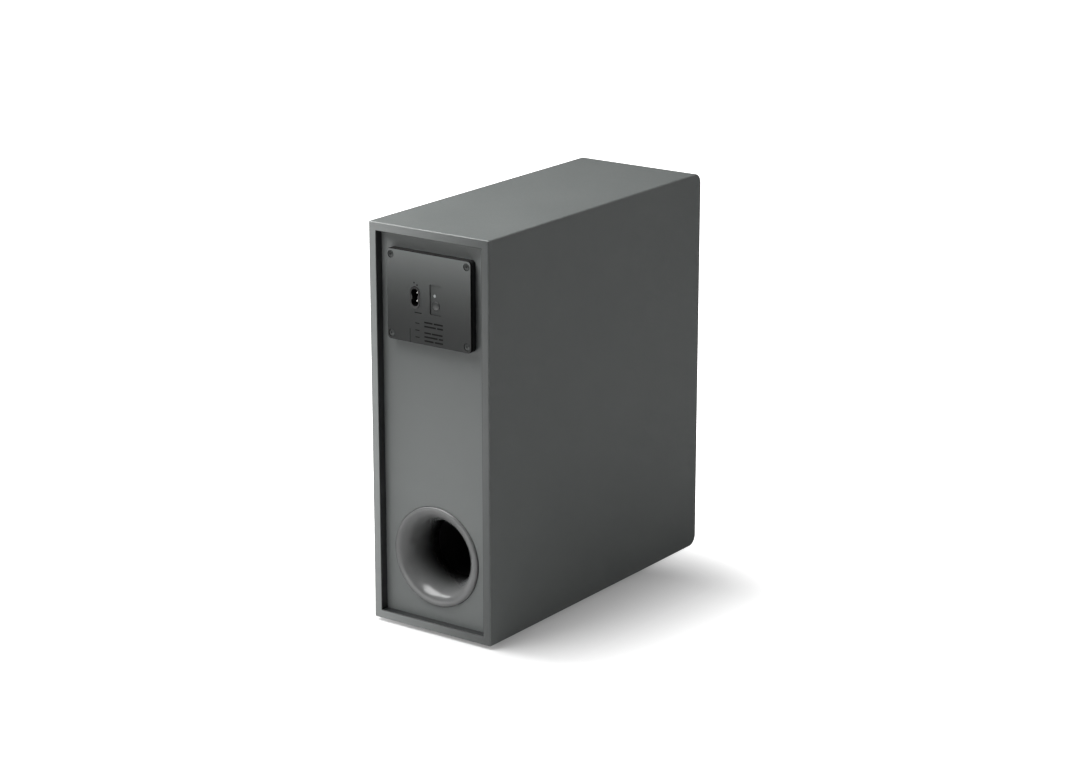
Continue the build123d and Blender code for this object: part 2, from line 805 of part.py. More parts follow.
with BuildPart() as capacitors:
    with BuildSketch(rear_plane(main_face_y, z=plate_z)):
        with Locations(capacitors_at):
            with GridLocations(capacitor_pitch, 0, 2, 1):
                Circle(capacitor_radius)
    extrude(amount=capacitor_height)
    fillet(capacitors.edges().group_by(Axis.Y)[-1], capacitor_edge)
finish(capacitors, "capacitors")

with BuildPart() as amp_chip:
    with BuildSketch(rear_plane(main_face_y, z=plate_z)):
        with Locations(sink_at):
            Rectangle(chip_width, chip_height)
    extrude(amount=chip_thickness)
finish(amp_chip, "amp_chip")

with BuildPart() as heat_sink:
    with BuildSketch(rear_plane(main_face_y + chip_thickness, z=plate_z)):
        with Locations(sink_at):
            Rectangle(sink_width, sink_height)
    extrude(amount=sink_base)
    fin_pitch = (sink_width - sink_fin_thickness) / (sink_fins - 1)
    with BuildSketch(rear_plane(main_face_y + chip_thickness + sink_base, z=plate_z)):
        with Locations(sink_at):
            with GridLocations(fin_pitch, 0, sink_fins, 1):
                Rectangle(sink_fin_thickness, sink_height)
    extrude(amount=sink_fin_height)
finish(heat_sink, "heat_sink")

with BuildPart() as wireless_module:
    with BuildSketch(rear_plane(main_face_y + module_lift, z=plate_z)):
        with Locations(module_at):
            Rectangle(module_width, module_height)
    extrude(amount=module_board)
    with BuildSketch(rear_plane(main_face_y + module_lift + module_board, z=plate_z)):
        with Locations((module_at[0], module_at[1] + module_can_rise)):
            Rectangle(module_can_width, module_can_height)
    extrude(amount=module_can)
    with BuildSketch(rear_plane(main_face_y, z=plate_z)):
        with Locations((module_at[0], module_at[1] - (module_height - module_header) / 2)):
            Rectangle(module_can_width, module_header)
    extrude(amount=module_lift)
finish(wireless_module, "wireless_module")

with BuildPart() as output_connector:
    with BuildSketch(rear_plane(main_face_y, z=plate_z)):
        with Locations(connector_at):
            Rectangle(connector_width, connector_height)
    extrude(amount=connector_depth)
finish(output_connector, "output_connector")

# ---------------------------------------------------------------------------------------------
# Woofer, built from its rebate inwards
# ---------------------------------------------------------------------------------------------
seal_top = -rebate_depth + seal_thickness
flange_top = seal_top + basket_sheet
seat_depth = -basket_waist_depth
neck_depth = -basket_depth
top_plate_top = neck_depth - basket_sheet
top_plate_bottom = top_plate_top - top_plate_thickness
magnet_bottom = top_plate_bottom - magnet_thickness

with BuildPart() as woofer_seal:
    with BuildSketch(side_plane(-rebate_depth)):
        Circle(woofer_radius)
        Circle(basket_wall_radius + basket_hole_gap, mode=Mode.SUBTRACT)
        with PolarLocations(woofer_screw_circle, woofer_screws_count):
            Circle(woofer_screw_radius + screw_gap, mode=Mode.SUBTRACT)
    extrude(amount=seal_thickness)
finish(woofer_seal, "woofer_seal")

# the basket's sheet steel follows these corners, as (radius, depth)
inside_corners = [
    (basket_wall_radius - basket_sheet, flange_top),
    (basket_waist_radius - basket_sheet, seat_depth),
    (spider_seat_radius, seat_depth),
    (basket_neck_radius, neck_depth),
    (basket_mouth_radius, neck_depth),
]
outside_corners = [
    (basket_mouth_radius, neck_depth - basket_sheet),
    (basket_neck_radius + basket_sheet, neck_depth - basket_sheet),
    (spider_seat_radius + basket_sheet, seat_depth - basket_sheet),
    (basket_waist_radius, seat_depth - basket_sheet),
    (basket_wall_radius, seal_top),
    (woofer_radius, seal_top),
    (woofer_radius, flange_top),
]
with BuildPart() as woofer_basket:
    with BuildSketch(woofer_section):
        with BuildLine():
            Polyline(*inside_corners, *outside_corners, close=True)
        make_face()
    revolve(axis=woofer_axis)
    # windows between the arms
    with BuildSketch(side_plane(seat_depth + basket_sheet)):
        with PolarLocations(basket_wall_radius, basket_arms, start_angle=180 / basket_arms):
            Rectangle(2 * (basket_wall_radius - spider_seat_radius), basket_window)
    extrude(amount=basket_window_rise, mode=Mode.SUBTRACT)
    # a slot in the arm behind the terminal strip, for the braided leads
    with BuildSketch(side_plane(seat_depth + lead_slot_rise)):
        with Locations((basket_waist_radius, 0)):
            Rectangle(2 * (basket_wall_radius - basket_waist_radius), strip_width)
    extrude(amount=lead_slot_height, mode=Mode.SUBTRACT)
    with BuildSketch(side_plane(seal_top)):
        with PolarLocations(woofer_screw_circle, woofer_screws_count):
            Circle(woofer_screw_radius + screw_gap)
    extrude(amount=basket_sheet, mode=Mode.SUBTRACT)
finish(woofer_basket, "woofer_basket")

with BuildPart() as woofer_screws:
    with BuildSketch(side_plane(flange_top)):
        with PolarLocations(woofer_screw_circle, woofer_screws_count):
            Circle(woofer_screw_head)
    extrude(amount=woofer_screw_head_height)
    fillet(woofer_screws.edges().group_by(Axis.X)[-1], woofer_screw_head_height / 2)
    with BuildSketch(side_plane(flange_top)):
        with PolarLocations(woofer_screw_circle, woofer_screws_count):
            Circle(woofer_screw_radius)
    extrude(amount=-woofer_screw_length)
    with BuildSketch(side_plane(flange_top + woofer_screw_head_height)):
        with PolarLocations(woofer_screw_circle, woofer_screws_count):
            Rectangle(cross_slot_length, cross_slot_width)
            Rectangle(cross_slot_width, cross_slot_length)
    extrude(amount=-cross_slot_depth, mode=Mode.SUBTRACT)
finish(woofer_screws, "woofer_screws")

# Magnet assembly: top plate, ferrite ring, and a back plate with the vented pole
with BuildPart() as woofer_top_plate:
    with BuildSketch(side_plane(top_plate_bottom)):
        Circle(top_plate_radius)
        Circle(gap_radius, mode=Mode.SUBTRACT)
    extrude(amount=top_plate_thickness)
finish(woofer_top_plate, "woofer_top_plate")

with BuildPart() as woofer_magnet:
    with BuildSketch(side_plane(magnet_bottom)):
        Circle(magnet_radius)
        Circle(magnet_inner, mode=Mode.SUBTRACT)
    extrude(amount=magnet_thickness)
    chamfer(woofer_magnet.edges().filter_by(GeomType.CIRCLE), magnet_chamfer)
finish(woofer_magnet, "woofer_magnet")

with BuildPart() as woofer_back_plate:
    with BuildSketch(side_plane(magnet_bottom - back_plate_thickness)):
        Circle(top_plate_radius)
    extrude(amount=back_plate_thickness)
    chamfer(woofer_back_plate.edges().group_by(Axis.X)[0], edge_radius)
    with BuildSketch(side_plane(magnet_bottom)):
        Circle(pole_radius)
    extrude(amount=top_plate_top - magnet_bottom)
    with BuildSketch(side_plane(magnet_bottom - back_plate_thickness)):
        Circle(pole_vent_radius)
    extrude(amount=top_plate_top - magnet_bottom + back_plate_thickness, mode=Mode.SUBTRACT)
finish(woofer_back_plate, "woofer_back_plate")

# Voice coil: the former runs from the cone's neck into the gap, with the winding at its end
former_top = -cone_neck_depth
former_bottom = former_top - former_length
with BuildPart() as coil_former:
    with BuildSketch(side_plane(former_bottom)):
        Circle(former_radius + former_wall)
        Circle(former_radius, mode=Mode.SUBTRACT)
    extrude(amount=former_length)
finish(coil_former, "coil_former")

with BuildPart() as voice_coil:
    with BuildSketch(side_plane(former_bottom + coil_end_gap)):
        Circle(former_radius + former_wall + coil_wall)
        Circle(former_radius + former_wall, mode=Mode.SUBTRACT)
    extrude(amount=coil_length)
finish(voice_coil, "voice_coil")

# Cone: a curved paper shell with a flat edge for the surround
cone_edge_radius = trim_inner - 2 * surround_roll - surround_wall / 2 - soft_gap
cone_neck_radius = former_radius + former_wall
with BuildPart() as woofer_cone:
    with BuildSketch(woofer_section):
        with BuildLine():
            edge_inner = cone_edge_radius - cone_land
            front_skin = SagittaArc(
                (cone_neck_radius, -cone_neck_depth), (edge_inner, -cone_edge_depth), cone_belly
            )
            Polyline(
                front_skin @ 1,
                (cone_edge_radius, -cone_edge_depth),
                (cone_edge_radius, -cone_edge_depth - cone_wall),
                (edge_inner + cone_wall, -cone_edge_depth - cone_wall),
            )
            back_skin = SagittaArc(
                (edge_inner + cone_wall, -cone_edge_depth - cone_wall),
                (cone_neck_radius, -cone_neck_depth - 2 * cone_wall),
                -cone_belly,
            )
            Line(back_skin @ 1, front_skin @ 0)
        make_face()
    revolve(axis=woofer_axis)
finish(woofer_cone, "woofer_cone")

# the dust cap's rim stands on the cone's curved face
chord = math.hypot(edge_inner - cone_neck_radius, cone_neck_depth - cone_edge_depth)
skin_radius = (chord**2 / 4 + cone_belly**2) / (2 * cone_belly)
chord_slope = math.atan2(cone_neck_depth - cone_edge_depth, edge_inner - cone_neck_radius)
skin_centre = (
    (cone_neck_radius + edge_inner) / 2 + (skin_radius - cone_belly) * math.sin(chord_slope),
    -(cone_neck_depth + cone_edge_depth) / 2 - (skin_radius - cone_belly) * math.cos(chord_slope),
)
cap_depth = skin_centre[1] + math.sqrt(skin_radius**2 - (skin_centre[0] - dust_cap_radius) ** 2)
with BuildPart() as dust_cap:
    with BuildSketch(woofer_section):
        with BuildLine():
            crown = TangentArc(
                (0, cap_depth + dust_cap_wall + dust_cap_rise),
                (dust_cap_radius, cap_depth + dust_cap_wall),
                tangent=(1, 0),
            )
            under_crown = TangentArc(
                (0, cap_depth + dust_cap_rise), (dust_cap_radius, cap_depth), tangent=(1, 0)
            )
            Line(crown @ 1, under_crown @ 1)
            Line(under_crown @ 0, crown @ 0)
        make_face()
    revolve(axis=woofer_axis)
finish(dust_cap, "dust_cap")

# Surround: an inverted half roll between the basket's flange and the cone's edge
land_top = flange_top + surround_wall
roll_depth = flange_top + surround_wall / 2
roll_middle = trim_inner - surround_roll
front_roll = surround_roll - surround_wall / 2
back_roll = surround_roll + surround_wall / 2
cone_land_bottom = -cone_edge_depth + soft_gap
cone_land_top = cone_land_bottom + surround_wall


def roll_reach(radius, depth):
    """How far from the roll's middle an arc of that radius lies at that depth."""
    return math.sqrt(radius**2 - (depth - roll_depth) ** 2)


with BuildPart() as woofer_surround:
    with BuildSketch(woofer_section):
        with BuildLine():
            front_arc = ThreePointArc(
                (roll_middle + front_roll, roll_depth),
                (roll_middle, roll_depth - front_roll),
                (roll_middle - roll_reach(front_roll, cone_land_top), cone_land_top),
            )
            back_arc = ThreePointArc(
                (roll_middle - roll_reach(back_roll, cone_land_bottom), cone_land_bottom),
                (roll_middle, roll_depth - back_roll),
                (roll_middle + roll_reach(back_roll, flange_top), flange_top),
            )
            Polyline(
                front_arc @ 1, (edge_inner, cone_land_top), (edge_inner, cone_land_bottom), back_arc @ 0
            )
            Polyline(
                back_arc @ 1,
                (trim_inner + surround_land, flange_top),
                (trim_inner + surround_land, land_top),
                (roll_middle + front_roll, land_top),
                front_arc @ 0,
            )
        make_face()
    revolve(axis=woofer_axis)
finish(woofer_surround, "woofer_surround")

with BuildPart() as trim_ring:
    with BuildSketch(side_plane(land_top)):
        Circle(trim_outer)
        Circle(trim_inner, mode=Mode.SUBTRACT)
    extrude(amount=trim_height)
finish(trim_ring, "trim_ring")

# Spider: a corrugated disc that keeps the coil centred
spider_inner = former_radius + former_wall + soft_gap
spider_outer = basket_waist_radius - basket_sheet - soft_gap
wave_span = spider_seat_radius - spider_inner
with BuildPart() as spider:
    with BuildSketch(woofer_section):
        with BuildLine():
            ridges = []
            for step in range(2 * spider_waves + 1):
                radius = spider_inner + wave_span * step / (2 * spider_waves)
                ridges.append((radius, seat_depth + spider_wave * (step % 2)))
            upper = [(radius, depth + spider_wall) for radius, depth in reversed(ridges)]
            Polyline(
                *ridges,
                (spider_outer, seat_depth),
                (spider_outer, seat_depth + spider_wall),
                *upper,
                close=True,
            )
        make_face()
    revolve(axis=woofer_axis)
finish(spider, "spider")

# Terminal strip behind the basket's rim, with two tabs that point inwards
strip_bottom = -board - strip_gap - strip_depth
with BuildPart() as woofer_terminal:
    with BuildSketch(side_plane(strip_bottom)):
        with Locations((strip_radius + strip_thickness / 2, 0)):
            Rectangle(strip_thickness, strip_width)
    extrude(amount=strip_depth)
    with BuildSketch(side_plane(strip_bottom)):
        with Locations((strip_radius + strip_thickness / 2, 0)):
            with GridLocations(0, strip_width / 2, 1, 2):
                Rectangle(tab_thickness, tab_width)
    extrude(amount=-tab_length)
finish(woofer_terminal, "woofer_terminal")

# ---------------------------------------------------------------------------------------------
# Grille: a moulded ring with ribs, cloth stretched over it, and pegs held in rubber cups
# ---------------------------------------------------------------------------------------------
frame_radius = grille_radius - cloth_thickness - cloth_gap
frame_top = grille_height - cloth_thickness - cloth_gap
ring_inner = frame_radius - grille_ring_width
rib_bottom = frame_top - grille_rib_height
with BuildPart() as grille_frame:
    with BuildSketch(side_plane(0)):
        Circle(frame_radius)
        Circle(ring_inner, mode=Mode.SUBTRACT)
    extrude(amount=frame_top)
    outer_rim = grille_frame.edges().group_by(Axis.X)[-1].sort_by(SortBy.RADIUS)[-1]
    fillet(outer_rim, grille_shoulder - cloth_thickness)
    with BuildSketch(side_plane(rib_bottom)):
        for ring in range(1, grille_rings + 1):
            ring_radius = ring_inner * ring / (grille_rings + 1)
            Circle(ring_radius)
            Circle(ring_radius - grille_rib_width, mode=Mode.SUBTRACT)
        for spoke in range(grille_spokes // 2):
            Rectangle(2 * ring_inner, grille_rib_width, rotation=spoke * 360 / grille_spokes)
    extrude(amount=grille_rib_height)
    with BuildSketch(side_plane(0)):
        with PolarLocations(peg_circle, peg_count):
            Circle(peg_radius)
    extrude(amount=-peg_length)
    chamfer(grille_frame.edges().group_by(Axis.X)[0], peg_chamfer)
finish(grille_frame, "grille_frame")

with BuildPart() as grille_cups:
    with BuildSketch(side_plane(0)):
        with PolarLocations(peg_circle, peg_count):
            Circle(cup_radius)
    extrude(amount=-cup_depth)
    with BuildSketch(side_plane(0)):
        with PolarLocations(peg_circle, peg_count):
            Circle(peg_radius)
    extrude(amount=-peg_length - cup_gap, mode=Mode.SUBTRACT)
finish(grille_cups, "grille_cups")

with BuildPart() as grille_cloth:
    with BuildSketch(woofer_section) as cloth_section:
        with BuildLine():
            crown_line = Polyline(
                (0, frame_top + cloth_gap), (0, grille_height), (grille_radius, grille_height)
            )
            skirt = Polyline(
                crown_line @ 1,
                (grille_radius, cloth_gap),
                (grille_radius - cloth_thickness, cloth_gap),
                (grille_radius - cloth_thickness, frame_top + cloth_gap),
                crown_line @ 0,
            )
        make_face()
        outer_corner = cloth_section.vertices().sort_by_distance((grille_radius, grille_height))[0]
        fillet(outer_corner, grille_shoulder)
        inner_corner = cloth_section.vertices().sort_by_distance(
            (grille_radius - cloth_thickness, frame_top + cloth_gap)
        )[0]
        fillet(inner_corner, grille_shoulder - cloth_thickness)
    revolve(axis=woofer_axis)
finish(grille_cloth, "grille_cloth")

# ---------------------------------------------------------------------------------------------
# Wiring and wadding
# ---------------------------------------------------------------------------------------------
# Two braided leads run from the terminal strip through a window of the basket to the cone's back
leads_route = [
    (strip_bottom, strip_radius - lead_clear),
    (strip_bottom - 7.0, strip_radius - 6.0),
    (strip_bottom - 13.0, strip_radius - 16.0),
    (strip_bottom - 13.5, strip_radius - 29.0),
    (strip_bottom - 8.5, strip_radius - 39.0),
    (strip_bottom + 0.5, strip_radius - 44.0),
]
with BuildPart() as tinsel_leads:
    for lead_z in (woofer_z - strip_width / 4, woofer_z + strip_width / 4):
        points = [(side_x + depth, woofer_y + radius, lead_z) for depth, radius in leads_route]
        with BuildLine():
            lead = FilletPolyline(*points, radius=route_radii(points))
        with BuildSketch(Plane(lead @ 0, z_dir=lead % 0)):
            Circle(lead_radius)
        sweep(path=lead)
finish(tinsel_leads, "tinsel_leads")

# The woofer's cable leaves the connector sideways, passes the board and the tray's floor, then the
# brace's upper window, and comes up to the terminal strip's tabs from behind
cable_z = plate_z + cable_below
strip_y = woofer_y + strip_radius + strip_thickness / 2
cable_route = [
    (middle_x + cable_x - cable_reach, main_face_y + cable_lift, cable_z),
    (middle_x + cable_x, main_face_y + cable_lift, cable_z),
    (middle_x + cable_x, tray_end_y - 12.0, cable_z),
    (middle_x + cable_x + 1.0, tray_end_y - 28.0, cable_z - 7.0),
    (middle_x + cable_x + 3.0, tray_end_y - 42.0, cable_z - 22.0),
    (middle_x + cable_x + 6.0, strip_y + 6.0, cable_z - 48.0),
    (middle_x + cable_x + 9.0, strip_y + 1.0, cable_z - 74.0),
    (side_x + strip_bottom - tab_length - 12.0, strip_y, woofer_z),
    (side_x + strip_bottom - tab_length, strip_y, woofer_z),
]
with BuildPart() as speaker_cable:
    with BuildLine():
        cable_line = FilletPolyline(*cable_route, radius=route_radii(cable_route))
    with BuildSketch(Plane(cable_line @ 0, z_dir=cable_line % 0)):
        Circle(cable_radius)
    sweep(path=cable_line)
finish(speaker_cable, "speaker_cable")

# Short leads from the inlet's tails to the main board, and from the control board to it
tail_end_y = plate_y + inlet_proud - inlet_depth - pin_tail
with BuildPart() as inlet_leads:
    for lead_z in (inlet_z - pin_pitch / 2, inlet_z + pin_pitch / 2):
        points = [
            (middle_x + inlet_x, tail_end_y, lead_z),
            (middle_x + inlet_x, tail_end_y - 8.0, lead_z),
            (middle_x + inlet_x + 3.0, (tail_end_y + main_face_y) / 2, lead_z),
            (middle_x + inlet_x, main_face_y + 8.0, lead_z),
            (middle_x + inlet_x, main_face_y, lead_z),
        ]
        with BuildLine():
            inlet_line = FilletPolyline(*points, radius=route_radii(points))
        with BuildSketch(Plane(inlet_line @ 0, z_dir=inlet_line % 0)):
            Circle(inlet_lead_radius)
        sweep(path=inlet_line)
finish(inlet_leads, "inlet_leads")

control_back_y = control_face_y - control_board_thickness
control_route = [
    (middle_x, control_back_y, controls_z + 11.0),
    (middle_x, control_back_y - 10.0, controls_z + 11.0),
    (middle_x + 3.0, (control_back_y + main_face_y) / 2, controls_z + 11.5),
    (middle_x, main_face_y + 10.0, controls_z + 11.0),
    (middle_x, main_face_y, controls_z + 11.0),
]
with BuildPart() as control_lead:
    with BuildLine():
        control_line = FilletPolyline(*control_route, radius=route_radii(control_route))
    with BuildSketch(Plane(control_line @ 0, z_dir=control_line % 0)):
        Circle(control_lead_radius)
    sweep(path=control_line)
finish(control_lead, "control_lead")

# Polyester wadding glued to the plain side's inner face
with BuildPart() as wadding_pad:
    with BuildSketch(Plane.YZ.offset(left_x + board + wadding_gap)):
        with Locations((wadding_middle_y, middle_z + wadding_rise)):
            RectangleRounded(wadding_depth, wadding_height, wadding_corner)
    extrude(amount=wadding_thickness)
    fillet(wadding_pad.faces().sort_by(Axis.X)[-1].edges(), wadding_radius)
finish(wadding_pad, "wadding_pad")

swept = (
    ("speaker_cable", speaker_cable, cable_line, cable_radius, 1),
    ("control_lead", control_lead, control_line, control_lead_radius, 1),
    ("inlet_leads", inlet_leads, inlet_line, inlet_lead_radius, 2),
    ("tinsel_leads", tinsel_leads, lead, lead_radius, 2),
)
for name, builder, line, radius, count in swept:
    expected = count * math.pi * radius**2 * line.length
    print(f"{name}: {line.length:.1f} mm long, volume {builder.part.volume:.1f} of {expected:.1f} mm3")
print("speaker cable's radii:", [round(radius, 1) for radius in route_radii(cable_route)])
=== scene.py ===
import bmesh
import bpy
import math
from mathutils import Matrix, Vector, noise
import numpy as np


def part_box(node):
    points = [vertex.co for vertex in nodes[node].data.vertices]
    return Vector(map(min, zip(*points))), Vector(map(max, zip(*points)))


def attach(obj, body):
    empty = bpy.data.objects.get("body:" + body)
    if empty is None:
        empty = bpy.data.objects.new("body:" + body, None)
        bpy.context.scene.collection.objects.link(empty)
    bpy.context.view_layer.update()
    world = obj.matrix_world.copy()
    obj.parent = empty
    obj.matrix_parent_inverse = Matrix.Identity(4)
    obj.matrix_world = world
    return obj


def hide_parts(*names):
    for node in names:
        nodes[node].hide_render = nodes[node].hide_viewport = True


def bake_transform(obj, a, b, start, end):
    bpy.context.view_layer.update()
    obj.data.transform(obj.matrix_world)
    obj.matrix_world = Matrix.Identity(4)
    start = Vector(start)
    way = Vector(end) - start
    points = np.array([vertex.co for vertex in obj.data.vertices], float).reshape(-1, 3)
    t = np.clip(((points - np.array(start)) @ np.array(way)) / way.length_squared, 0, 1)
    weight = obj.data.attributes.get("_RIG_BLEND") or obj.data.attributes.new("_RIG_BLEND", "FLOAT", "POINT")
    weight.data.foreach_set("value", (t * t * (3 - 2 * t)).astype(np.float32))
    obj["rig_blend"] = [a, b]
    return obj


# A slim wireless subwoofer: wrapped cabinet, rear reflex port, rear amplifier plate with a mains inlet
# and a pairing button, and a woofer behind a round cloth grille on its right side. Metres.

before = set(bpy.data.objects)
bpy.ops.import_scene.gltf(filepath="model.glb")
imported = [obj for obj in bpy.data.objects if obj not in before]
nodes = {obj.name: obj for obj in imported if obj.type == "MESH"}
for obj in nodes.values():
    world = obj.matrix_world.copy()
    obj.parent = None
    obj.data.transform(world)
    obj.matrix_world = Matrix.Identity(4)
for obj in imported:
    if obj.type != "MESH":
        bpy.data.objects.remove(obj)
bpy.context.view_layer.update()
scene = bpy.context.scene
mm = 0.001

# ---------------------------------------------------------------------------------------------
# Camera: it stands behind the cabinet, past its plain side and above its top, and looks down at it
# through a long lens
# ---------------------------------------------------------------------------------------------
camera_place = (-1.6536, 2.3010, 1.0546)
camera_turn = math.radians(35.593)
camera_fall = math.radians(16.505)
camera_data = bpy.data.cameras.new("camera")
camera_data.sensor_width = 36.0
camera_data.lens = 95.49
camera = bpy.data.objects.new("camera", camera_data)
scene.collection.objects.link(camera)
looks_along = Vector((
    math.cos(camera_fall) * math.sin(camera_turn),
    -math.cos(camera_fall) * math.cos(camera_turn),
    -math.sin(camera_fall),
))
camera.location = camera_place
camera.rotation_euler = looks_along.to_track_quat("-Z", "Y").to_euler()
scene.camera = camera
scene.view_settings.view_transform = "Standard"


# ---------------------------------------------------------------------------------------------
# Studio: a pale floor that glows away from the cabinet, which leaves a soft shadow painted round its
# foot, soft boxes above, behind and beside it, a faint broad sun, and a surround that looks white but gives
# little light
# ---------------------------------------------------------------------------------------------
def put(tree, kind, values=(), links=(), **settings):
    """Add a node, with its settings, its unlinked inputs' values and the links that feed it."""
    node = tree.nodes.new(kind)
    for key, value in settings.items():
        setattr(node, key, value)
    for key, value in dict(values).items():
        node.inputs[key].default_value = value
    for key, source in dict(links).items():
        tree.links.new(source, node.inputs[key])
    return node


floor_reach = 9.0
painted_shadow_middle = (-0.0385, 0.041, 0.0)
painted_shadow_stretch = (1.0, 1.9, 1.0)
painted_shadow_half = (0.0385, 0.236, 0.0)
painted_shadow_reach, glow_curve = 0.3, 1.3
glow_rise, glow_edge = 1.6, 0.18
world_light = 0.11
floor_seen = (0.50, 0.50, 0.50, 1.0)
floor_bounce = (0.60, 0.60, 0.60, 1.0)
floor_mesh = bpy.data.meshes.new("studio_floor")
floor_mesh.from_pydata(
    [(-floor_reach, -floor_reach, 0), (floor_reach, -floor_reach, 0),
     (floor_reach, floor_reach, 0), (-floor_reach, floor_reach, 0)], [], [(0, 1, 2, 3)]
)
floor = bpy.data.objects.new("studio_floor", floor_mesh)
scene.collection.objects.link(floor)
floor_paint = bpy.data.materials.new("studio_floor")
floor_paint.use_nodes = True
floor_tree = floor_paint.node_tree
floor_shader = floor_tree.nodes["Principled BSDF"]
floor_shader.inputs["Roughness"].default_value = 0.9
floor_shader.inputs["Specular IOR Level"].default_value = 0.1
floor_path = put(floor_tree, "ShaderNodeLightPath")
floor_tones = put(floor_tree, "ShaderNodeMixRGB", {"Color1": floor_bounce, "Color2": floor_seen},
                  {"Fac": floor_path.outputs["Is Camera Ray"]})
floor_tree.links.new(floor_tones.outputs["Color"], floor_shader.inputs["Base Color"])
# painted shadow: the floor's glow whitens it away from the cabinet, slower beside it than before and behind
# it, so a soft shadow is painted round the cabinet's foot
floor_spot = put(floor_tree, "ShaderNodeVectorMath", {1: painted_shadow_middle}, {
    0: put(floor_tree, "ShaderNodeTexCoord").outputs["Object"]}, operation="SUBTRACT")
floor_scaled = put(floor_tree, "ShaderNodeVectorMath", {1: painted_shadow_stretch}, {
    0: floor_spot.outputs["Vector"]}, operation="MULTIPLY")
floor_away = put(floor_tree, "ShaderNodeVectorMath", {}, {
    0: floor_scaled.outputs["Vector"]}, operation="ABSOLUTE")
floor_beyond = put(floor_tree, "ShaderNodeVectorMath", {1: painted_shadow_half}, {
    0: floor_away.outputs["Vector"]}, operation="SUBTRACT")
floor_outside = put(floor_tree, "ShaderNodeVectorMath", {1: (0.0, 0.0, 0.0)}, {
    0: floor_beyond.outputs["Vector"]}, operation="MAXIMUM")
floor_distance = put(floor_tree, "ShaderNodeVectorMath", {}, {
    0: floor_outside.outputs["Vector"]}, operation="LENGTH")
floor_fade = put(floor_tree, "ShaderNodeMapRange", {"From Max": painted_shadow_reach}, {
    "Value": floor_distance.outputs["Value"]})
floor_curve = put(floor_tree, "ShaderNodeMath", {1: glow_curve}, {
    0: floor_fade.outputs["Result"]}, operation="POWER")
floor_level = put(floor_tree, "ShaderNodeMath", {1: glow_rise, 2: glow_edge}, {
    0: floor_curve.outputs["Value"]}, operation="MULTIPLY_ADD")
floor_glow = put(floor_tree, "ShaderNodeMath", {}, {
    0: floor_level.outputs["Value"], 1: floor_path.outputs["Is Camera Ray"]}, operation="MULTIPLY")
floor_shader.inputs["Emission Color"].default_value = (1.0, 1.0, 1.0, 1.0)
floor_tree.links.new(floor_glow.outputs["Value"], floor_shader.inputs["Emission Strength"])
floor_mesh.materials.append(floor_paint)


def soft_light(name, place, aims_at, width, height, power):
    """A rectangular soft box that faces a point."""
    data = bpy.data.lights.new(name, "AREA")
    data.shape = "RECTANGLE"
    data.size = width
    data.size_y = height
    data.energy = power
    lamp = bpy.data.objects.new(name, data)
    scene.collection.objects.link(lamp)
    lamp.visible_camera = False
    lamp.location = place
    lamp.rotation_euler = (Vector(aims_at) - Vector(place)).to_track_quat("-Z", "Y").to_euler()


soft_light("overhead_light", (0.40, 0.52, 1.25), (0, 0.05, 0.25), 1.0, 0.8, 23.5)
soft_light("back_light", (0.18, 0.62, 0.10), (0, 0.18, 0.12), 0.4, 0.2, 0.6)
soft_light("front_side_light", (-1.25, -0.95, 0.70), (-0.07, -0.14, 0.05), 0.7, 0.4, 4.4)
soft_light("edge_light", (2.0, 0.45, 1.55), (0.0, 0.18, 0.15), 0.8, 0.8, 24.0)
sun_data = bpy.data.lights.new("high_light", "SUN")
sun_data.angle = math.radians(75)
sun_data.energy = 0.25
sun = bpy.data.objects.new("high_light", sun_data)
scene.collection.objects.link(sun)
sun.rotation_euler = Vector((-0.3, -0.2, -1.0)).to_track_quat("-Z", "Y").to_euler()
world = bpy.data.worlds.new("studio_surround")
world.use_nodes = True
world_shader = world.node_tree.nodes["Background"]
world_shader.inputs["Color"].default_value = (1.0, 1.0, 1.0, 1.0)
world_path = put(world.node_tree, "ShaderNodeLightPath")
world_level = put(world.node_tree, "ShaderNodeMapRange", {"To Min": world_light, "To Max": 1.0}, {
    "Value": world_path.outputs["Is Camera Ray"]})
world.node_tree.links.new(world_level.outputs["Result"], world_shader.inputs["Strength"])
scene.world = world


# ---------------------------------------------------------------------------------------------
# Cabinet panels: fibreboard with mitred long edges, wrapped in dark grey foil with a fine pebble
# grain. The front board is wrapped apart and glued on; its top and bottom edges are rounded.
# ---------------------------------------------------------------------------------------------
def shader_group(name, inputs, outputs):
    """A shader node group with named float, colour or vector sockets."""
    group = bpy.data.node_groups.new(name, "ShaderNodeTree")
    for label, kind, value in inputs:
        socket = group.interface.new_socket(label, in_out="INPUT", socket_type=kind)
        socket.default_value = value
    for label in outputs:
        group.interface.new_socket(label, in_out="OUTPUT", socket_type="NodeSocketFloat")
    return group, put(group, "NodeGroupInput"), put(group, "NodeGroupOutput")


def maths(tree, operation, first, second=None):
    """A Math node on sockets or numbers; gives its output socket."""
    node = put(tree, "ShaderNodeMath", operation=operation)
    for index, source in enumerate((first, second)):
        if isinstance(source, (int, float)):
            node.inputs[index].default_value = source
        elif source is not None:
            tree.links.new(source, node.inputs[index])
    return node.outputs["Value"]


def parts_of(tree, kind, output):
    """The X, Y and Z parts of a place ("TexCoord", "Object") or a facing ("NewGeometry", "Normal")."""
    source = put(tree, "ShaderNode" + kind).outputs[output]
    return put(tree, "ShaderNodeSeparateXYZ", {}, {0: source}).outputs


def ramp(tree, value, start, end, first=0.0, last=1.0, **settings):
    """Goes from first to last as the value goes from start to end, and stays there."""
    reach = {"From Min": start, "From Max": end, "To Min": first, "To Max": last}
    node = put(tree, "ShaderNodeMapRange", reach, {"Value": value}, **settings)
    return node.outputs["Result"]


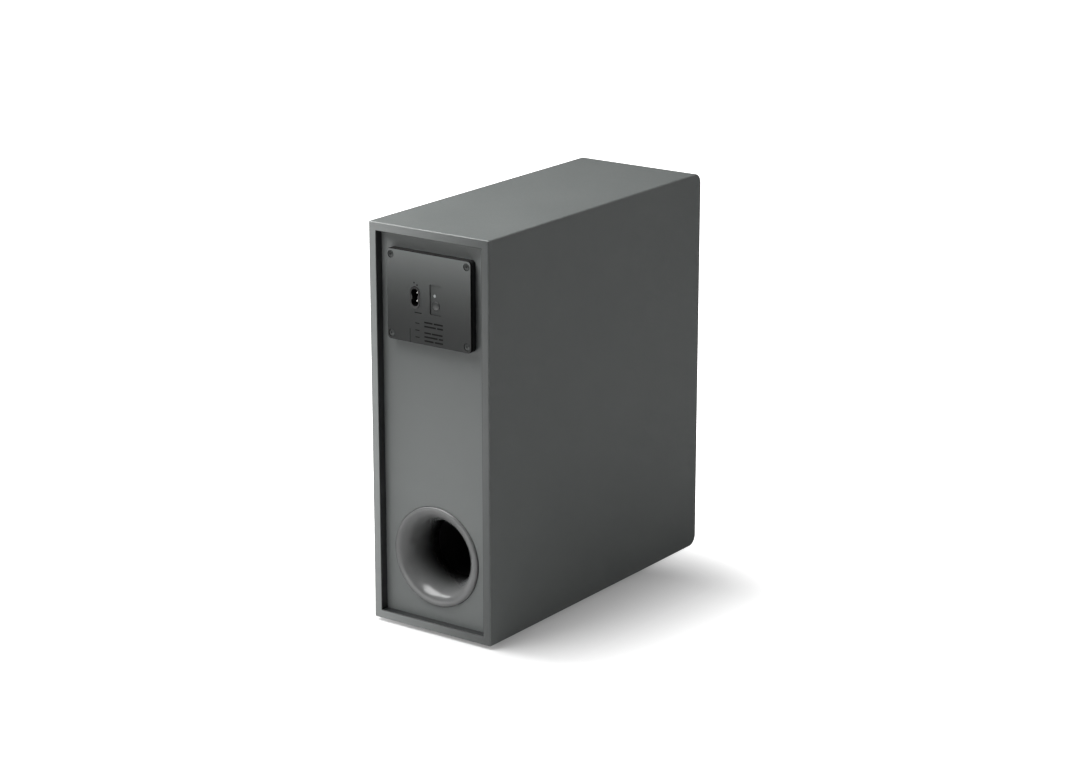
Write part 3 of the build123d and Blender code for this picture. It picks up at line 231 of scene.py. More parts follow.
def mixed(tree, share, first, second):
    """One colour going over to another as the share goes from 0 to 1; each is a socket or a colour."""
    node = put(tree, "ShaderNodeMixRGB", {}, {"Fac": share})
    for key, colour in (("Color1", first), ("Color2", second)):
        if isinstance(colour, tuple):
            node.inputs[key].default_value = (*colour, 1.0)
        else:
            tree.links.new(colour, node.inputs[key])
    return node.outputs["Color"]


def recolour(material, change):
    """Put a change, a function of the tree and its colour so far, before a material's base colour."""
    tree = material.node_tree
    shader = tree.nodes["Principled BSDF"]
    colour = change(tree, shader.inputs["Base Color"].links[0].from_socket)
    tree.links.new(colour, shader.inputs["Base Color"])
    return tree, shader


# fine grain of a moulded, painted or foiled surface: small cells with finer noise, and slow mottling
grain, grain_in, grain_out = shader_group(
    "fine_grain",
    [("Cells", "NodeSocketFloat", 900.0), ("Mottle Size", "NodeSocketFloat", 14.0)],
    ["Height", "Mottle"],
)
grain_place = put(grain, "ShaderNodeTexCoord").outputs["Object"]
grain_cells = put(grain, "ShaderNodeTexVoronoi", {"Smoothness": 0.6}, {
    "Vector": grain_place, "Scale": grain_in.outputs["Cells"]}, feature="SMOOTH_F1")
finer = maths(grain, "MULTIPLY", grain_in.outputs["Cells"], 2.7)
grain_noise = put(grain, "ShaderNodeTexNoise", {"Detail": 2.0, "Roughness": 0.6}, {
    "Vector": grain_place, "Scale": finer})
cell_part = maths(grain, "MULTIPLY", grain_cells.outputs["Distance"], 0.7)
noise_part = maths(grain, "MULTIPLY", grain_noise.outputs["Fac"], 0.4)
grain.links.new(maths(grain, "ADD", cell_part, noise_part), grain_out.inputs["Height"])
mottle = put(grain, "ShaderNodeTexNoise", {"Detail": 5.0, "Roughness": 0.55}, {
    "Vector": grain_place, "Scale": grain_in.outputs["Mottle Size"]})
mottle_range = put(grain, "ShaderNodeMapRange", {"From Min": 0.3, "From Max": 0.7}, {
    "Value": mottle.outputs["Fac"]})
grain.links.new(mottle_range.outputs["Result"], grain_out.inputs["Mottle"])

# light rubbing along the edges of a box-shaped piece, broken up by noise
wear, wear_in, wear_out = shader_group(
    "edge_wear",
    [("Centre", "NodeSocketVector", (0.0, 0.0, 0.0)), ("Half Size", "NodeSocketVector", (1.0, 1.0, 1.0)),
     ("Width", "NodeSocketFloat", 0.002)],
    ["Mask"],
)
wear_place = put(wear, "ShaderNodeTexCoord").outputs["Object"]
from_centre = put(wear, "ShaderNodeVectorMath", {}, {0: wear_place, 1: wear_in.outputs["Centre"]},
                  operation="SUBTRACT")
size_out = put(wear, "ShaderNodeVectorMath", {}, {0: from_centre.outputs["Vector"]}, operation="ABSOLUTE")
inset = put(wear, "ShaderNodeVectorMath", {}, {
    0: wear_in.outputs["Half Size"], 1: size_out.outputs["Vector"]}, operation="SUBTRACT")
inset_parts = put(wear, "ShaderNodeSeparateXYZ", {}, {0: inset.outputs["Vector"]})
in_x, in_y, in_z = (inset_parts.outputs[axis] for axis in "XYZ")
least = maths(wear, "MINIMUM", in_x, in_y)
most = maths(wear, "MAXIMUM", in_x, in_y)
second_least = maths(wear, "MAXIMUM", least, maths(wear, "MINIMUM", most, in_z))
wear_noise = put(wear, "ShaderNodeTexNoise", {"Scale": 90.0, "Detail": 4.0}, {"Vector": wear_place})
uneven = maths(wear, "MULTIPLY", wear_in.outputs["Width"], wear_noise.outputs["Fac"])
closeness = maths(wear, "SUBTRACT", 1.0, maths(wear, "DIVIDE", second_least, uneven))
wear_mask = put(wear, "ShaderNodeClamp", {}, {"Value": closeness})
wear.links.new(wear_mask.outputs["Result"], wear_out.inputs["Mask"])

# thin dust that settles on what faces upwards
dust, dust_in, dust_out = shader_group("settled_dust", [("Amount", "NodeSocketFloat", 0.1)], ["Mask"])
dust_facing = parts_of(dust, "NewGeometry", "Normal")
dust_specks = put(dust, "ShaderNodeTexNoise", {"Scale": 420.0, "Detail": 6.0, "Roughness": 0.8}, {
    "Vector": put(dust, "ShaderNodeTexCoord").outputs["Object"]})
dust_level = put(dust, "ShaderNodeMapRange", {"From Min": 0.5, "From Max": 0.8}, {
    "Value": dust_specks.outputs["Fac"]})
dust_up = maths(dust, "MAXIMUM", dust_facing["Z"], 0.0)
dust_amount = maths(dust, "MULTIPLY", dust_up, dust_in.outputs["Amount"])
dust.links.new(maths(dust, "MULTIPLY", dust_amount, dust_level.outputs["Result"]), dust_out.inputs["Mask"])


def surface(name, colour, tone, roughness, cells=900.0, relief=0.02, mottle_size=14.0, metallic=0.0,
            wear_box=None, worn=None, dusty=0.0, specular=0.5):
    """A material with two tones, uneven gloss and fine grain, and where asked worn edges and dust."""
    made = bpy.data.materials.new(name)
    made.use_nodes = True
    tree = made.node_tree
    shader = tree.nodes["Principled BSDF"]
    shader.inputs["Metallic"].default_value = metallic
    shader.inputs["Specular IOR Level"].default_value = specular
    texture = put(tree, "ShaderNodeGroup", {}, {}, node_tree=grain)
    texture.inputs["Cells"].default_value = cells
    texture.inputs["Mottle Size"].default_value = mottle_size
    tones = put(tree, "ShaderNodeMixRGB", {"Color1": (*colour, 1.0), "Color2": (*tone, 1.0)}, {
        "Fac": texture.outputs["Mottle"]})
    colour_out = tones.outputs["Color"]
    if wear_box is not None:
        lowest, highest, width = wear_box
        rubbed = put(tree, "ShaderNodeGroup", {}, {}, node_tree=wear)
        rubbed.inputs["Centre"].default_value = (lowest + highest) / 2
        rubbed.inputs["Half Size"].default_value = (highest - lowest) / 2
        rubbed.inputs["Width"].default_value = width
        colour_out = put(tree, "ShaderNodeMixRGB", {"Color2": (*worn, 1.0)}, {
            "Fac": rubbed.outputs["Mask"], "Color1": colour_out}).outputs["Color"]
    if dusty:
        settled = put(tree, "ShaderNodeGroup", {}, {}, node_tree=dust)
        settled.inputs["Amount"].default_value = dusty
        colour_out = put(tree, "ShaderNodeMixRGB", {"Color2": (0.42, 0.41, 0.39, 1.0)}, {
            "Fac": settled.outputs["Mask"], "Color1": colour_out}).outputs["Color"]
    tree.links.new(colour_out, shader.inputs["Base Color"])
    gloss = put(tree, "ShaderNodeMapRange", {"To Min": roughness[0], "To Max": roughness[1]}, {
        "Value": texture.outputs["Mottle"]})
    tree.links.new(gloss.outputs["Result"], shader.inputs["Roughness"])
    bump = put(tree, "ShaderNodeBump", {"Strength": 1.0, "Distance": relief * mm}, {
        "Height": texture.outputs["Height"]})
    tree.links.new(bump.outputs["Normal"], shader.inputs["Normal"])
    return made


def dress(material, *names):
    """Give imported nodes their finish."""
    for name in names:
        for place in nodes[name].material_slots:
            place.material = material


front_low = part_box("front_panel")[0]
side_low, side_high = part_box("left_side_panel")
right_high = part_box("right_side_panel")[1]
cabinet_low = Vector((side_low.x, front_low.y, side_low.z))
cabinet_high = Vector((right_high.x, side_high.y, side_high.z))
wrap = surface(
    "cabinet_wrap", (0.112, 0.121, 0.119), (0.126, 0.135, 0.132), (0.43, 0.52), cells=1300.0, relief=0.05,
    mottle_size=9.0, wear_box=(cabinet_low, cabinet_high, 0.0022), worn=(0.2, 0.21, 0.205), dusty=0.10,
)
recess_low, recess_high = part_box("back_panel")
recess_middle = (recess_low + recess_high) / 2
recess_half = (recess_high - recess_low) / 2


def painted_rim_light_and_recess_shade(tree, colour):
    """Painted light and shade: rear edges painted paler towards one side, and painted shade on the walls
    inside them.
    """
    place = parts_of(tree, "TexCoord", "Object")
    facing = parts_of(tree, "NewGeometry", "Normal")
    rim_share = ramp(tree, place["X"], cabinet_low.x, cabinet_high.x)
    rim_painted_light = mixed(tree, rim_share, (0.066, 0.071, 0.070), (0.205, 0.215, 0.212))
    at_rear = ramp(tree, place["Y"], cabinet_high.y - 0.8 * mm, cabinet_high.y - 0.2 * mm)
    on_rim = maths(tree, "MULTIPLY", at_rear, ramp(tree, facing["Y"], 0.5, 0.9))
    rim_done = mixed(tree, on_rim, colour, rim_painted_light)
    gaps = []
    for axis, middle, half in (("X", recess_middle.x, recess_half.x), ("Z", recess_middle.z, recess_half.z)):
        away = maths(tree, "ABSOLUTE", maths(tree, "SUBTRACT", place[axis], middle))
        gaps.append(maths(tree, "SUBTRACT", away, half))
    # painted shade: the walls inside the recess are painted near black
    near_wall = ramp(tree, maths(tree, "MAXIMUM", *gaps), 0.5 * mm, 0.9 * mm, 1.0, 0.0)
    past_panel = ramp(tree, place["Y"], recess_high.y - 1.0 * mm, recess_high.y)
    return mixed(tree, maths(tree, "MULTIPLY", near_wall, past_panel), rim_done, (0.020, 0.022, 0.022))


recolour(wrap, painted_rim_light_and_recess_shade)
dress(wrap, "front_panel", "top_panel", "bottom_panel", "left_side_panel", "right_side_panel")

# ---------------------------------------------------------------------------------------------
# Back panel: a fibreboard panel wrapped in the same foil, set into the cabinet's back and held by
# softwood strips
# ---------------------------------------------------------------------------------------------
back_wrap = surface(
    "back_panel_wrap", (0.118, 0.127, 0.125), (0.130, 0.139, 0.136), (0.46, 0.55), cells=1300.0, relief=0.05,
    mottle_size=11.0, dusty=0.05,
)


def shaded_board(tree, colour):
    """Fixed tones that stand for light: the board is darker towards the plate, and paler above it."""
    height = parts_of(tree, "TexCoord", "Object")["Z"]
    rise = ramp(tree, height, recess_middle.z - 0.06, recess_high.z - 0.10, 0.0, 0.5)
    crown = ramp(tree, height, recess_high.z - 0.06, recess_high.z - 0.01)
    return mixed(tree, crown, mixed(tree, rise, colour, (0.066, 0.071, 0.070)), (0.19, 0.20, 0.197))


recolour(back_wrap, shaded_board)
dress(back_wrap, "back_panel")

# ---------------------------------------------------------------------------------------------
# Strips and brace: planed softwood strips in the corners, which hold the back and front boards, and a
# raw fibreboard brace across the inside
# ---------------------------------------------------------------------------------------------
pine = surface("planed_pine", (0.58, 0.42, 0.24), (0.70, 0.54, 0.33), (0.6, 0.75), cells=500.0, relief=0.1,
               mottle_size=60.0)
raw_board = surface("raw_fibreboard", (0.40, 0.28, 0.17), (0.47, 0.34, 0.22), (0.75, 0.85), cells=1600.0,
                    relief=0.12, mottle_size=120.0)
dress(pine, "rear_cleats", "front_cleats")
dress(raw_board, "window_brace")

# ---------------------------------------------------------------------------------------------
# Reflex port: a flared mouth moulded in dark grey ABS with a satin shine, glued into the back panel,
# a card tube behind it, and a smaller flare on the tube's inner end
# ---------------------------------------------------------------------------------------------
port_plastic = surface(
    "port_plastic", (0.112, 0.114, 0.114), (0.122, 0.124, 0.124), (0.20, 0.25), cells=2400.0,
    relief=0.012, mottle_size=20.0, dusty=0.04,
)
card = surface(
    "port_card", (0.005, 0.005, 0.005), (0.008, 0.008, 0.008), (0.7, 0.8), cells=700.0, relief=0.05,
)


def dark_throat(tree, colour):
    """A fixed tone that stands for shade: the mouth darkens down its throat."""
    depth = parts_of(tree, "TexCoord", "Object")["Y"]
    outwards = ramp(tree, depth, recess_high.y - 44.0 * mm, recess_high.y - 8.0 * mm,
                    interpolation_type="SMOOTHSTEP")
    return mixed(tree, outwards, (0.004, 0.004, 0.004), colour)


recolour(port_plastic, dark_throat)
dress(port_plastic, "port_inner_flare")
dress(card, "port_tube")


def turned(name, outline, steps, closed=True, crease=math.radians(35)):
    """A solid of revolution about Z from (radius, height) points, its edges sharp past the crease angle."""
    shape = bmesh.new()
    rings = []
    for radius, height in outline:
        ring = []
        for step in range(steps):
            angle = 2 * math.pi * step / steps
            ring.append(shape.verts.new((radius * math.cos(angle), radius * math.sin(angle), height)))
        rings.append(ring)
    pairs = list(zip(rings, rings[1:] + rings[:1])) if closed else list(zip(rings, rings[1:]))
    for lower, upper in pairs:
        for step in range(steps):
            following = (step + 1) % steps
            shape.faces.new((lower[step], lower[following], upper[following], upper[step]))
    bmesh.ops.remove_doubles(shape, verts=shape.verts, dist=1e-7)
    bmesh.ops.dissolve_degenerate(shape, dist=1e-8, edges=shape.edges)
    bmesh.ops.recalc_face_normals(shape, faces=shape.faces)
    for face in shape.faces:
        face.smooth = True
    for edge in shape.edges:
        edge.smooth = edge.calc_face_angle(math.pi) < crease
    mesh = bpy.data.meshes.new(name)
    shape.to_mesh(mesh)
    shape.free()
    return bpy.data.objects.new(name, mesh)


mouth_low, mouth_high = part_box("port_flare")
lip_radius, lip_proud = 49.0, 2.2
mouth_depth, bore_radius, bore_end = 33.0, 32.0, 45.0
mouth_wall, flange_depth, flange_radius = 2.4, 2.5, 51.8


def quarter_ellipse(narrow, deep, first, last, count):
    """Points (radius, height) on the mouth's curve between two angles, in millimetres."""
    points = []
    for step in range(count + 1):
        angle = math.radians(first + (last - first) * step / count)
        points.append((lip_radius - narrow * math.cos(angle), deep * math.sin(angle) - mouth_depth))
    return points


throat = quarter_ellipse(lip_radius - bore_radius, mouth_depth + lip_proud, 0, 90, 48)
lip = [(lip_radius + (flange_radius - lip_radius) * math.sin(math.radians(a)),
        lip_proud * math.cos(math.radians(a))) for a in range(10, 91, 10)]
behind = quarter_ellipse(
    lip_radius - bore_radius - mouth_wall, mouth_depth + lip_proud - mouth_wall, 68.4, 0, 24)
mouth = turned("port_mouth", [(radius * mm, height * mm) for radius, height in (
    [(bore_radius, -bore_end)] + throat + lip + [(flange_radius, -flange_depth)] + behind
    + [(bore_radius + mouth_wall, -bore_end)])], 192)
mouth_centre = (mouth_low + mouth_high) / 2
out_of_back = Matrix(((-1, 0, 0), (0, 0, 1), (0, 1, 0)))
mouth.data.transform(
    Matrix.Translation((mouth_centre.x, mouth_high.y - lip_proud * mm, mouth_centre.z)) @ out_of_back.to_4x4()
)
mouth.data.materials.append(port_plastic)
scene.collection.objects.link(mouth)
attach(mouth, "cabinet")
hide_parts("port_flare")

# ---------------------------------------------------------------------------------------------
# Rubber feet: four moulded pads with a raised rim and a dimpled middle, stuck under the cabinet
# ---------------------------------------------------------------------------------------------
def repeating_tree(name):
    """Geometry nodes that set a form at each point of a grid in the local XY plane."""
    tree = bpy.data.node_groups.new(name, "GeometryNodeTree")
    sockets = [("Form", "NodeSocketObject"), ("Finish", "NodeSocketMaterial"),
               ("Pitch X", "NodeSocketFloat"), ("Pitch Y", "NodeSocketFloat"),
               ("Count X", "NodeSocketInt"), ("Count Y", "NodeSocketInt")]
    for label, kind in sockets:
        tree.interface.new_socket(label, in_out="INPUT", socket_type=kind)
    tree.interface.new_socket("Geometry", in_out="OUTPUT", socket_type="NodeSocketGeometry")
    start = put(tree, "NodeGroupInput")
    spans = []
    for axis in "XY":
        gaps = maths(tree, "SUBTRACT", start.outputs[f"Count {axis}"], 1.0)
        spans.append(maths(tree, "MULTIPLY", gaps, start.outputs[f"Pitch {axis}"]))
    points = put(tree, "GeometryNodeMeshGrid", {}, {
        "Size X": spans[0], "Size Y": spans[1],
        "Vertices X": start.outputs["Count X"], "Vertices Y": start.outputs["Count Y"]})
    form = put(tree, "GeometryNodeObjectInfo", {"As Instance": True}, {"Object": start.outputs["Form"]})
    placed = put(tree, "GeometryNodeInstanceOnPoints", {}, {
        "Points": points.outputs["Mesh"], "Instance": form.outputs["Geometry"]})
    real = put(tree, "GeometryNodeRealizeInstances", {}, {"Geometry": placed.outputs["Instances"]})
    painted = put(tree, "GeometryNodeSetMaterial", {}, {
        "Geometry": real.outputs["Geometry"], "Material": start.outputs["Finish"]})
    put(tree, "NodeGroupOutput", {}, {"Geometry": painted.outputs["Geometry"]})
    return tree


def repeated(name, tree, centre, across, along, **values):
    """Run a repeating tree, and leave its plain mesh in place: local X lies across, local Z along."""
    carrier = bpy.data.objects.new(name, bpy.data.meshes.new(name))
    scene.collection.objects.link(carrier)
    modifier = carrier.modifiers.new("repeat", "NODES")
    modifier.node_group = tree
    for item in tree.interface.items_tree:
        if item.in_out == "INPUT":
            modifier[item.identifier] = values[item.name.replace(" ", "_").lower()]
    bpy.context.view_layer.update()
    evaluated = carrier.evaluated_get(bpy.context.evaluated_depsgraph_get())
    mesh = bpy.data.meshes.new_from_object(evaluated)
    bpy.data.objects.remove(carrier)
    x_axis, z_axis = Vector(across), Vector(along)
    turn = Matrix((x_axis, z_axis.cross(x_axis), z_axis)).transposed()
    mesh.transform(Matrix.Translation(centre) @ turn.to_4x4())
    mesh.name = name
    piece = bpy.data.objects.new(name, mesh)
    scene.collection.objects.link(piece)
    return piece


grid_tree = repeating_tree("forms_on_a_grid")
foot_rubber = surface("foot_rubber", (0.016, 0.016, 0.016), (0.024, 0.024, 0.023), (0.62, 0.75), cells=1500.0,
                      relief=0.03)
feet_low, feet_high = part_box("rubber_feet")
foot_radius = 10.0 * mm
foot_height = feet_high.z - feet_low.z
foot_form = turned("foot_form", [
    (0.0, 0.5 * mm), (6.5 * mm, 0.5 * mm), (7.0 * mm, 0.0), (9.2 * mm, 0.0), (9.7 * mm, 0.25 * mm),
    (foot_radius, 0.8 * mm), (foot_radius, foot_height - 0.3 * mm), (9.8 * mm, foot_height),
    (0.0, foot_height),
], 64, closed=False)
feet_middle = (feet_low + feet_high) / 2
feet = repeated(
    "moulded_feet", grid_tree, (feet_middle.x, feet_middle.y, feet_low.z), (1, 0, 0), (0, 0, 1),
    form=foot_form, finish=foot_rubber, pitch_x=feet_high.x - feet_low.x - 2 * foot_radius,
    pitch_y=feet_high.y - feet_low.y - 2 * foot_radius, count_x=2, count_y=2,
)
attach(feet, "cabinet")
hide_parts("rubber_feet")

# ---------------------------------------------------------------------------------------------
# Amplifier's gasket and tray: closed-cell foam, and glass-filled nylon whose collar shows as a black
# edge round the plate
# ---------------------------------------------------------------------------------------------
foam = surface(
    "gasket_foam", (0.014, 0.014, 0.014), (0.022, 0.022, 0.022), (0.85, 0.95), cells=2200.0, relief=0.08,
)
tray_plastic = surface(
    "tray_nylon", (0.0015, 0.0015, 0.0015), (0.0025, 0.0025, 0.0025), (0.7, 0.8), cells=1500.0,
    relief=0.02,
)
dress(foam, "amp_gasket", "woofer_seal", "trim_ring")
dress(tray_plastic, "amp_tray", "control_posts", "tact_switch", "switch_plunger")

# ---------------------------------------------------------------------------------------------
# Amplifier plate: 2 mm steel, powder-coated dark grey, screwed over the tray. A shallow recess holds
# the button and the light.
# ---------------------------------------------------------------------------------------------
plate_low, plate_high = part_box("amp_plate")
plate_paint = surface(
    "plate_powder_coat", (0.013, 0.0142, 0.0139), (0.017, 0.0182, 0.0179), (0.42, 0.50), cells=1900.0,
    relief=0.045, mottle_size=16.0, wear_box=(plate_low, plate_high, 0.0009), worn=(0.06, 0.063, 0.062),
    specular=0.25,
)


def coated_face(tree):
    """1 on the plate's flat face and 0 on its cut edge."""
    return ramp(tree, parts_of(tree, "NewGeometry", "Normal")["Y"], 0.8, 0.97)


def toned_plate(tree, colour):
    """Fixed tones that stand for light: much paler towards the top, and black on the steel's cut edge."""
    rise = ramp(tree, parts_of(tree, "TexCoord", "Object")["Z"], plate_low.z, plate_high.z)
    pale = mixed(tree, maths(tree, "POWER", rise, 2.2), colour, (0.125, 0.132, 0.130))
    return mixed(tree, coated_face(tree), (0.003, 0.003, 0.003), pale)


plate_tree, plate_shader = recolour(plate_paint, toned_plate)
plate_gloss = ramp(plate_tree, coated_face(plate_tree), 0.0, 1.0, 0.95, 0.44)
plate_tree.links.new(plate_gloss, plate_shader.inputs["Roughness"])
dress(plate_paint, "amp_plate")

# ---------------------------------------------------------------------------------------------
# Printed marks: plain bars and dots in dark ink, screen-printed on the plate once its coat is baked.
# They stand where an inlet's and a button's markings would be, and say nothing.
# ---------------------------------------------------------------------------------------------
ink = surface(
    "dark_ink", (0.0015, 0.0015, 0.0015), (0.003, 0.003, 0.003), (0.85, 0.95), cells=2500.0, relief=0.01,
    specular=0.15,
)
ink_depth = 0.04 * mm
ink_bars = [
    (18.6, 306.0, 0.6, 14.0), (8.5, 330.0, 8.6, 1.0), (13.0, 359.5, 1.5, 1.5), (9.4, 357.5, 1.5, 1.5),
    (-4.0, 321.6, 10.0, 1.5), (-16.0, 321.6, 11.0, 1.5), (-6.0, 317.6, 14.0, 1.5), (-18.0, 317.6, 7.0, 1.5),
    (-3.0, 311.2, 8.0, 1.5), (-14.5, 311.2, 13.0, 1.5), (-7.0, 307.2, 16.0, 1.5), (-19.0, 307.2, 5.0, 1.5),
    (-4.5, 303.2, 11.0, 1.5), (-16.5, 303.2, 10.0, 1.5), (9.5, 319.5, 5.0, 0.9), (9.5, 312.5, 5.0, 0.9),
    (9.5, 305.5, 5.0, 0.9),
]
print_shape = bmesh.new()
for bar_x, bar_z, bar_width, bar_height in ink_bars:
    bmesh.ops.create_cube(print_shape, size=1.0, matrix=Matrix.LocRotScale(
        Vector((bar_x * mm, plate_high.y + ink_depth / 2, bar_z * mm)), None,
        Vector((bar_width * mm, ink_depth, bar_height * mm))))
print_mesh = bpy.data.meshes.new("plate_print")
print_shape.to_mesh(print_mesh)
print_shape.free()
print_mesh.materials.append(ink)
plate_print = bpy.data.objects.new("plate_print", print_mesh)
scene.collection.objects.link(plate_print)
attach(plate_print, "cabinet")

# ---------------------------------------------------------------------------------------------
# Plate screws: four pan-head screws in black oxide with crossed recesses, driven through the plate's
# corners into the back panel
# ---------------------------------------------------------------------------------------------
def screw_form(name, head, rise, shank, length, recess):
    """A pan-head screw along Z, its seat at the origin, with a tapered crossed recess."""
    dome = [(head * math.cos(t), rise * (0.35 + 0.65 * math.sin(t))) for t in
            (math.radians(a) for a in range(0, 91, 15))]
    thread = []
    pitch = 1.2 * mm
    turns = int((length - shank) / pitch)
    for index in range(turns):
        level = -length + shank + index * pitch
        thread += [(shank * 0.78, level), (shank, level + pitch / 2)]
    outline = [(0.0, -length)] + thread + [(shank, -0.3 * mm), (shank, 0.0), (head, 0.0)] + dome
    body = turned(name, outline, 40, closed=False)
    slot_shape = bmesh.new()
    for quarter in range(2):
        made = bmesh.ops.create_cube(slot_shape, size=1.0)["verts"]
        for vertex in made:
            deep = vertex.co.z < 0
            reach = recess * (0.30 if deep else 1.0)
            vertex.co = Vector((vertex.co.x * 2 * reach, vertex.co.y * 0.8 * mm * (0.6 if deep else 1.0),
                                rise * (0.1 if deep else 1.2)))
        bmesh.ops.rotate(slot_shape, verts=made, matrix=Matrix.Rotation(math.pi / 2 * quarter, 3, "Z"))
    cutter_mesh = bpy.data.meshes.new(name + "_recess")
    slot_shape.to_mesh(cutter_mesh)
    slot_shape.free()
    cutter = bpy.data.objects.new(name + "_recess", cutter_mesh)
    scene.collection.objects.link(body)
    scene.collection.objects.link(cutter)
    cut = body.modifiers.new("recess", "BOOLEAN")
    cut.operation = "DIFFERENCE"
    cut.object = cutter
    cut.use_self = True
    bpy.context.view_layer.update()
    mesh = bpy.data.meshes.new_from_object(body.evaluated_get(bpy.context.evaluated_depsgraph_get()))
    bpy.data.objects.remove(body)
    bpy.data.objects.remove(cutter)
    return bpy.data.objects.new(name, mesh)


black_steel = surface(
    "black_oxide_steel", (0.040, 0.043, 0.042), (0.050, 0.053, 0.052), (0.34, 0.44), cells=1800.0,
    relief=0.015, metallic=0.5,
)
plate_screw = screw_form("plate_screw_form", 3.4 * mm, 1.1 * mm, 1.5 * mm, 17.0 * mm, 1.9 * mm)
plate_middle = (plate_low + plate_high) / 2
screws_across, screws_up = 92.0 * mm, 79.0 * mm
plate_screws = repeated(
    "plate_screws", grid_tree, (plate_middle.x, plate_high.y - 1.0 * mm, plate_middle.z),
    (-1, 0, 0), (0, 1, 0), form=plate_screw, finish=black_steel,
    pitch_x=screws_across, pitch_y=screws_up, count_x=2, count_y=2,
)
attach(plate_screws, "cabinet")
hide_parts("amp_screws")

# ---------------------------------------------------------------------------------------------
# Mains inlet: a gloss black figure-of-eight socket moulded in polycarbonate and snapped into the plate,
# with two nickel-plated pins
# ---------------------------------------------------------------------------------------------
inlet_plastic = surface("inlet_polycarbonate", (0.006, 0.006, 0.006), (0.009, 0.009, 0.009), (0.16, 0.24),
                        cells=1200.0, relief=0.006)
plated = surface(
    "nickel_plate", (0.72, 0.71, 0.68), (0.80, 0.79, 0.76), (0.14, 0.24), cells=1400.0, relief=0.006,
    metallic=1.0,
)
dress(inlet_plastic, "ac_inlet")
pins_low, pins_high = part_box("inlet_pins")
pin_length = pins_high.y - pins_low.y
pin_pitch = 8.6 * mm
pin_form = turned("pin_form", [
    (0.0, 0.0), (1.2 * mm, 0.0), (1.2 * mm, pin_length - 1.1 * mm), (1.05 * mm, pin_length - 0.55 * mm),
    (0.7 * mm, pin_length - 0.15 * mm), (0.3 * mm, pin_length), (0.0, pin_length),
], 32, closed=False)
pins = repeated(
    "plated_pins", grid_tree, ((pins_low.x + pins_high.x) / 2, pins_low.y, (pins_low.z + pins_high.z) / 2),
    (-1, 0, 0), (0, 1, 0), form=pin_form, finish=plated, pitch_x=0.0, pitch_y=pin_pitch, count_x=1, count_y=2,
)
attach(pins, "cabinet")
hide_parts("inlet_pins")

# ---------------------------------------------------------------------------------------------
# Pairing button: a domed ABS cap that sinks into the plate's recess. A flange keeps it in, and its stem
# presses a tact switch.
# ---------------------------------------------------------------------------------------------
button_plastic = surface(
    "button_abs", (0.026, 0.028, 0.0275), (0.032, 0.034, 0.0335), (0.34, 0.42), cells=2000.0, relief=0.02,
)
button_low, button_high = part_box("pair_button")
button_middle = (button_low + button_high) / 2
cap_length = button_high.y - button_low.y
cap_radius = 4.2 * mm
cap_dome = [
    (cap_radius * math.sin(math.radians(a)), cap_length - 0.75 * mm * (1 - math.cos(math.radians(a))))
    for a in range(84, -1, -7)
]
button_cap = turned("button_cap", [
    (0.0, 0.0), (1.7 * mm, 0.0), (1.7 * mm, 3.5 * mm), (5.6 * mm, 3.5 * mm), (5.6 * mm, 4.7 * mm),
    (cap_radius, 4.7 * mm),
] + cap_dome, 96, closed=False)
button_cap.data.transform(
    Matrix.Translation((button_middle.x, button_low.y, button_middle.z)) @ out_of_back.to_4x4()
)
button_cap.data.materials.append(button_plastic)
scene.collection.objects.link(button_cap)
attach(button_cap, "button")
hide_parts("pair_button")

# ---------------------------------------------------------------------------------------------
# Status light: a clear acrylic rod pressed into the recess, which carries light out from a small lamp
# on the control board
# ---------------------------------------------------------------------------------------------
lens = bpy.data.materials.new("light_lens")
lens.use_nodes = True
lens_tree = lens.node_tree
lens_shader = lens_tree.nodes["Principled BSDF"]
lens_shader.inputs["Roughness"].default_value = 0.12
lens_shader.inputs["Coat Weight"].default_value = 0.4
lens_grain = put(lens_tree, "ShaderNodeGroup", {}, {}, node_tree=grain)
lens_tones = mixed(lens_tree, lens_grain.outputs["Mottle"], (0.26, 0.28, 0.28), (0.34, 0.36, 0.36))
lens_tree.links.new(lens_tones, lens_shader.inputs["Base Color"])
dress(lens, "light_pipe")

# ---------------------------------------------------------------------------------------------
# Electronics: green boards, a wound transformer, sleeved capacitors, a chip under a finned heat sink,
# a radio module in a tinned can, and the speaker's connector
# ---------------------------------------------------------------------------------------------
solder_mask = surface("solder_mask", (0.010, 0.110, 0.045), (0.014, 0.150, 0.060), (0.25, 0.4), cells=350.0,
                      relief=0.03, mottle_size=180.0)
core_and_tape = surface("transformer_tape", (0.50, 0.36, 0.06), (0.56, 0.42, 0.09), (0.4, 0.55), cells=300.0,
                        relief=0.05)
sleeve = surface("capacitor_sleeve", (0.012, 0.013, 0.020), (0.018, 0.020, 0.030), (0.2, 0.3), cells=900.0,
                 relief=0.01)
epoxy = surface(
    "chip_epoxy", (0.012, 0.012, 0.012), (0.018, 0.018, 0.018), (0.6, 0.7), cells=2600.0, relief=0.03,
)
sink_metal = surface("extruded_aluminium", (0.70, 0.71, 0.72), (0.78, 0.79, 0.80), (0.35, 0.5), cells=600.0,
                     relief=0.02, metallic=1.0)
tin = surface("tinned_steel", (0.66, 0.66, 0.64), (0.74, 0.74, 0.72), (0.3, 0.42), cells=900.0, relief=0.02,
              metallic=1.0)
nylon = surface("white_nylon", (0.74, 0.72, 0.67), (0.80, 0.78, 0.73), (0.4, 0.5), cells=1200.0, relief=0.02)
zinc = surface("zinc_steel", (0.58, 0.58, 0.55), (0.68, 0.67, 0.62), (0.28, 0.42), cells=800.0, relief=0.02,
               metallic=1.0)
dress(solder_mask, "main_board", "control_board")
dress(core_and_tape, "transformer")
dress(sleeve, "capacitors")
dress(epoxy, "amp_chip")
dress(sink_metal, "heat_sink")
dress(tin, "wireless_module")
dress(nylon, "output_connector", "status_led")
dress(zinc, "board_screws", "woofer_top_plate", "woofer_back_plate")

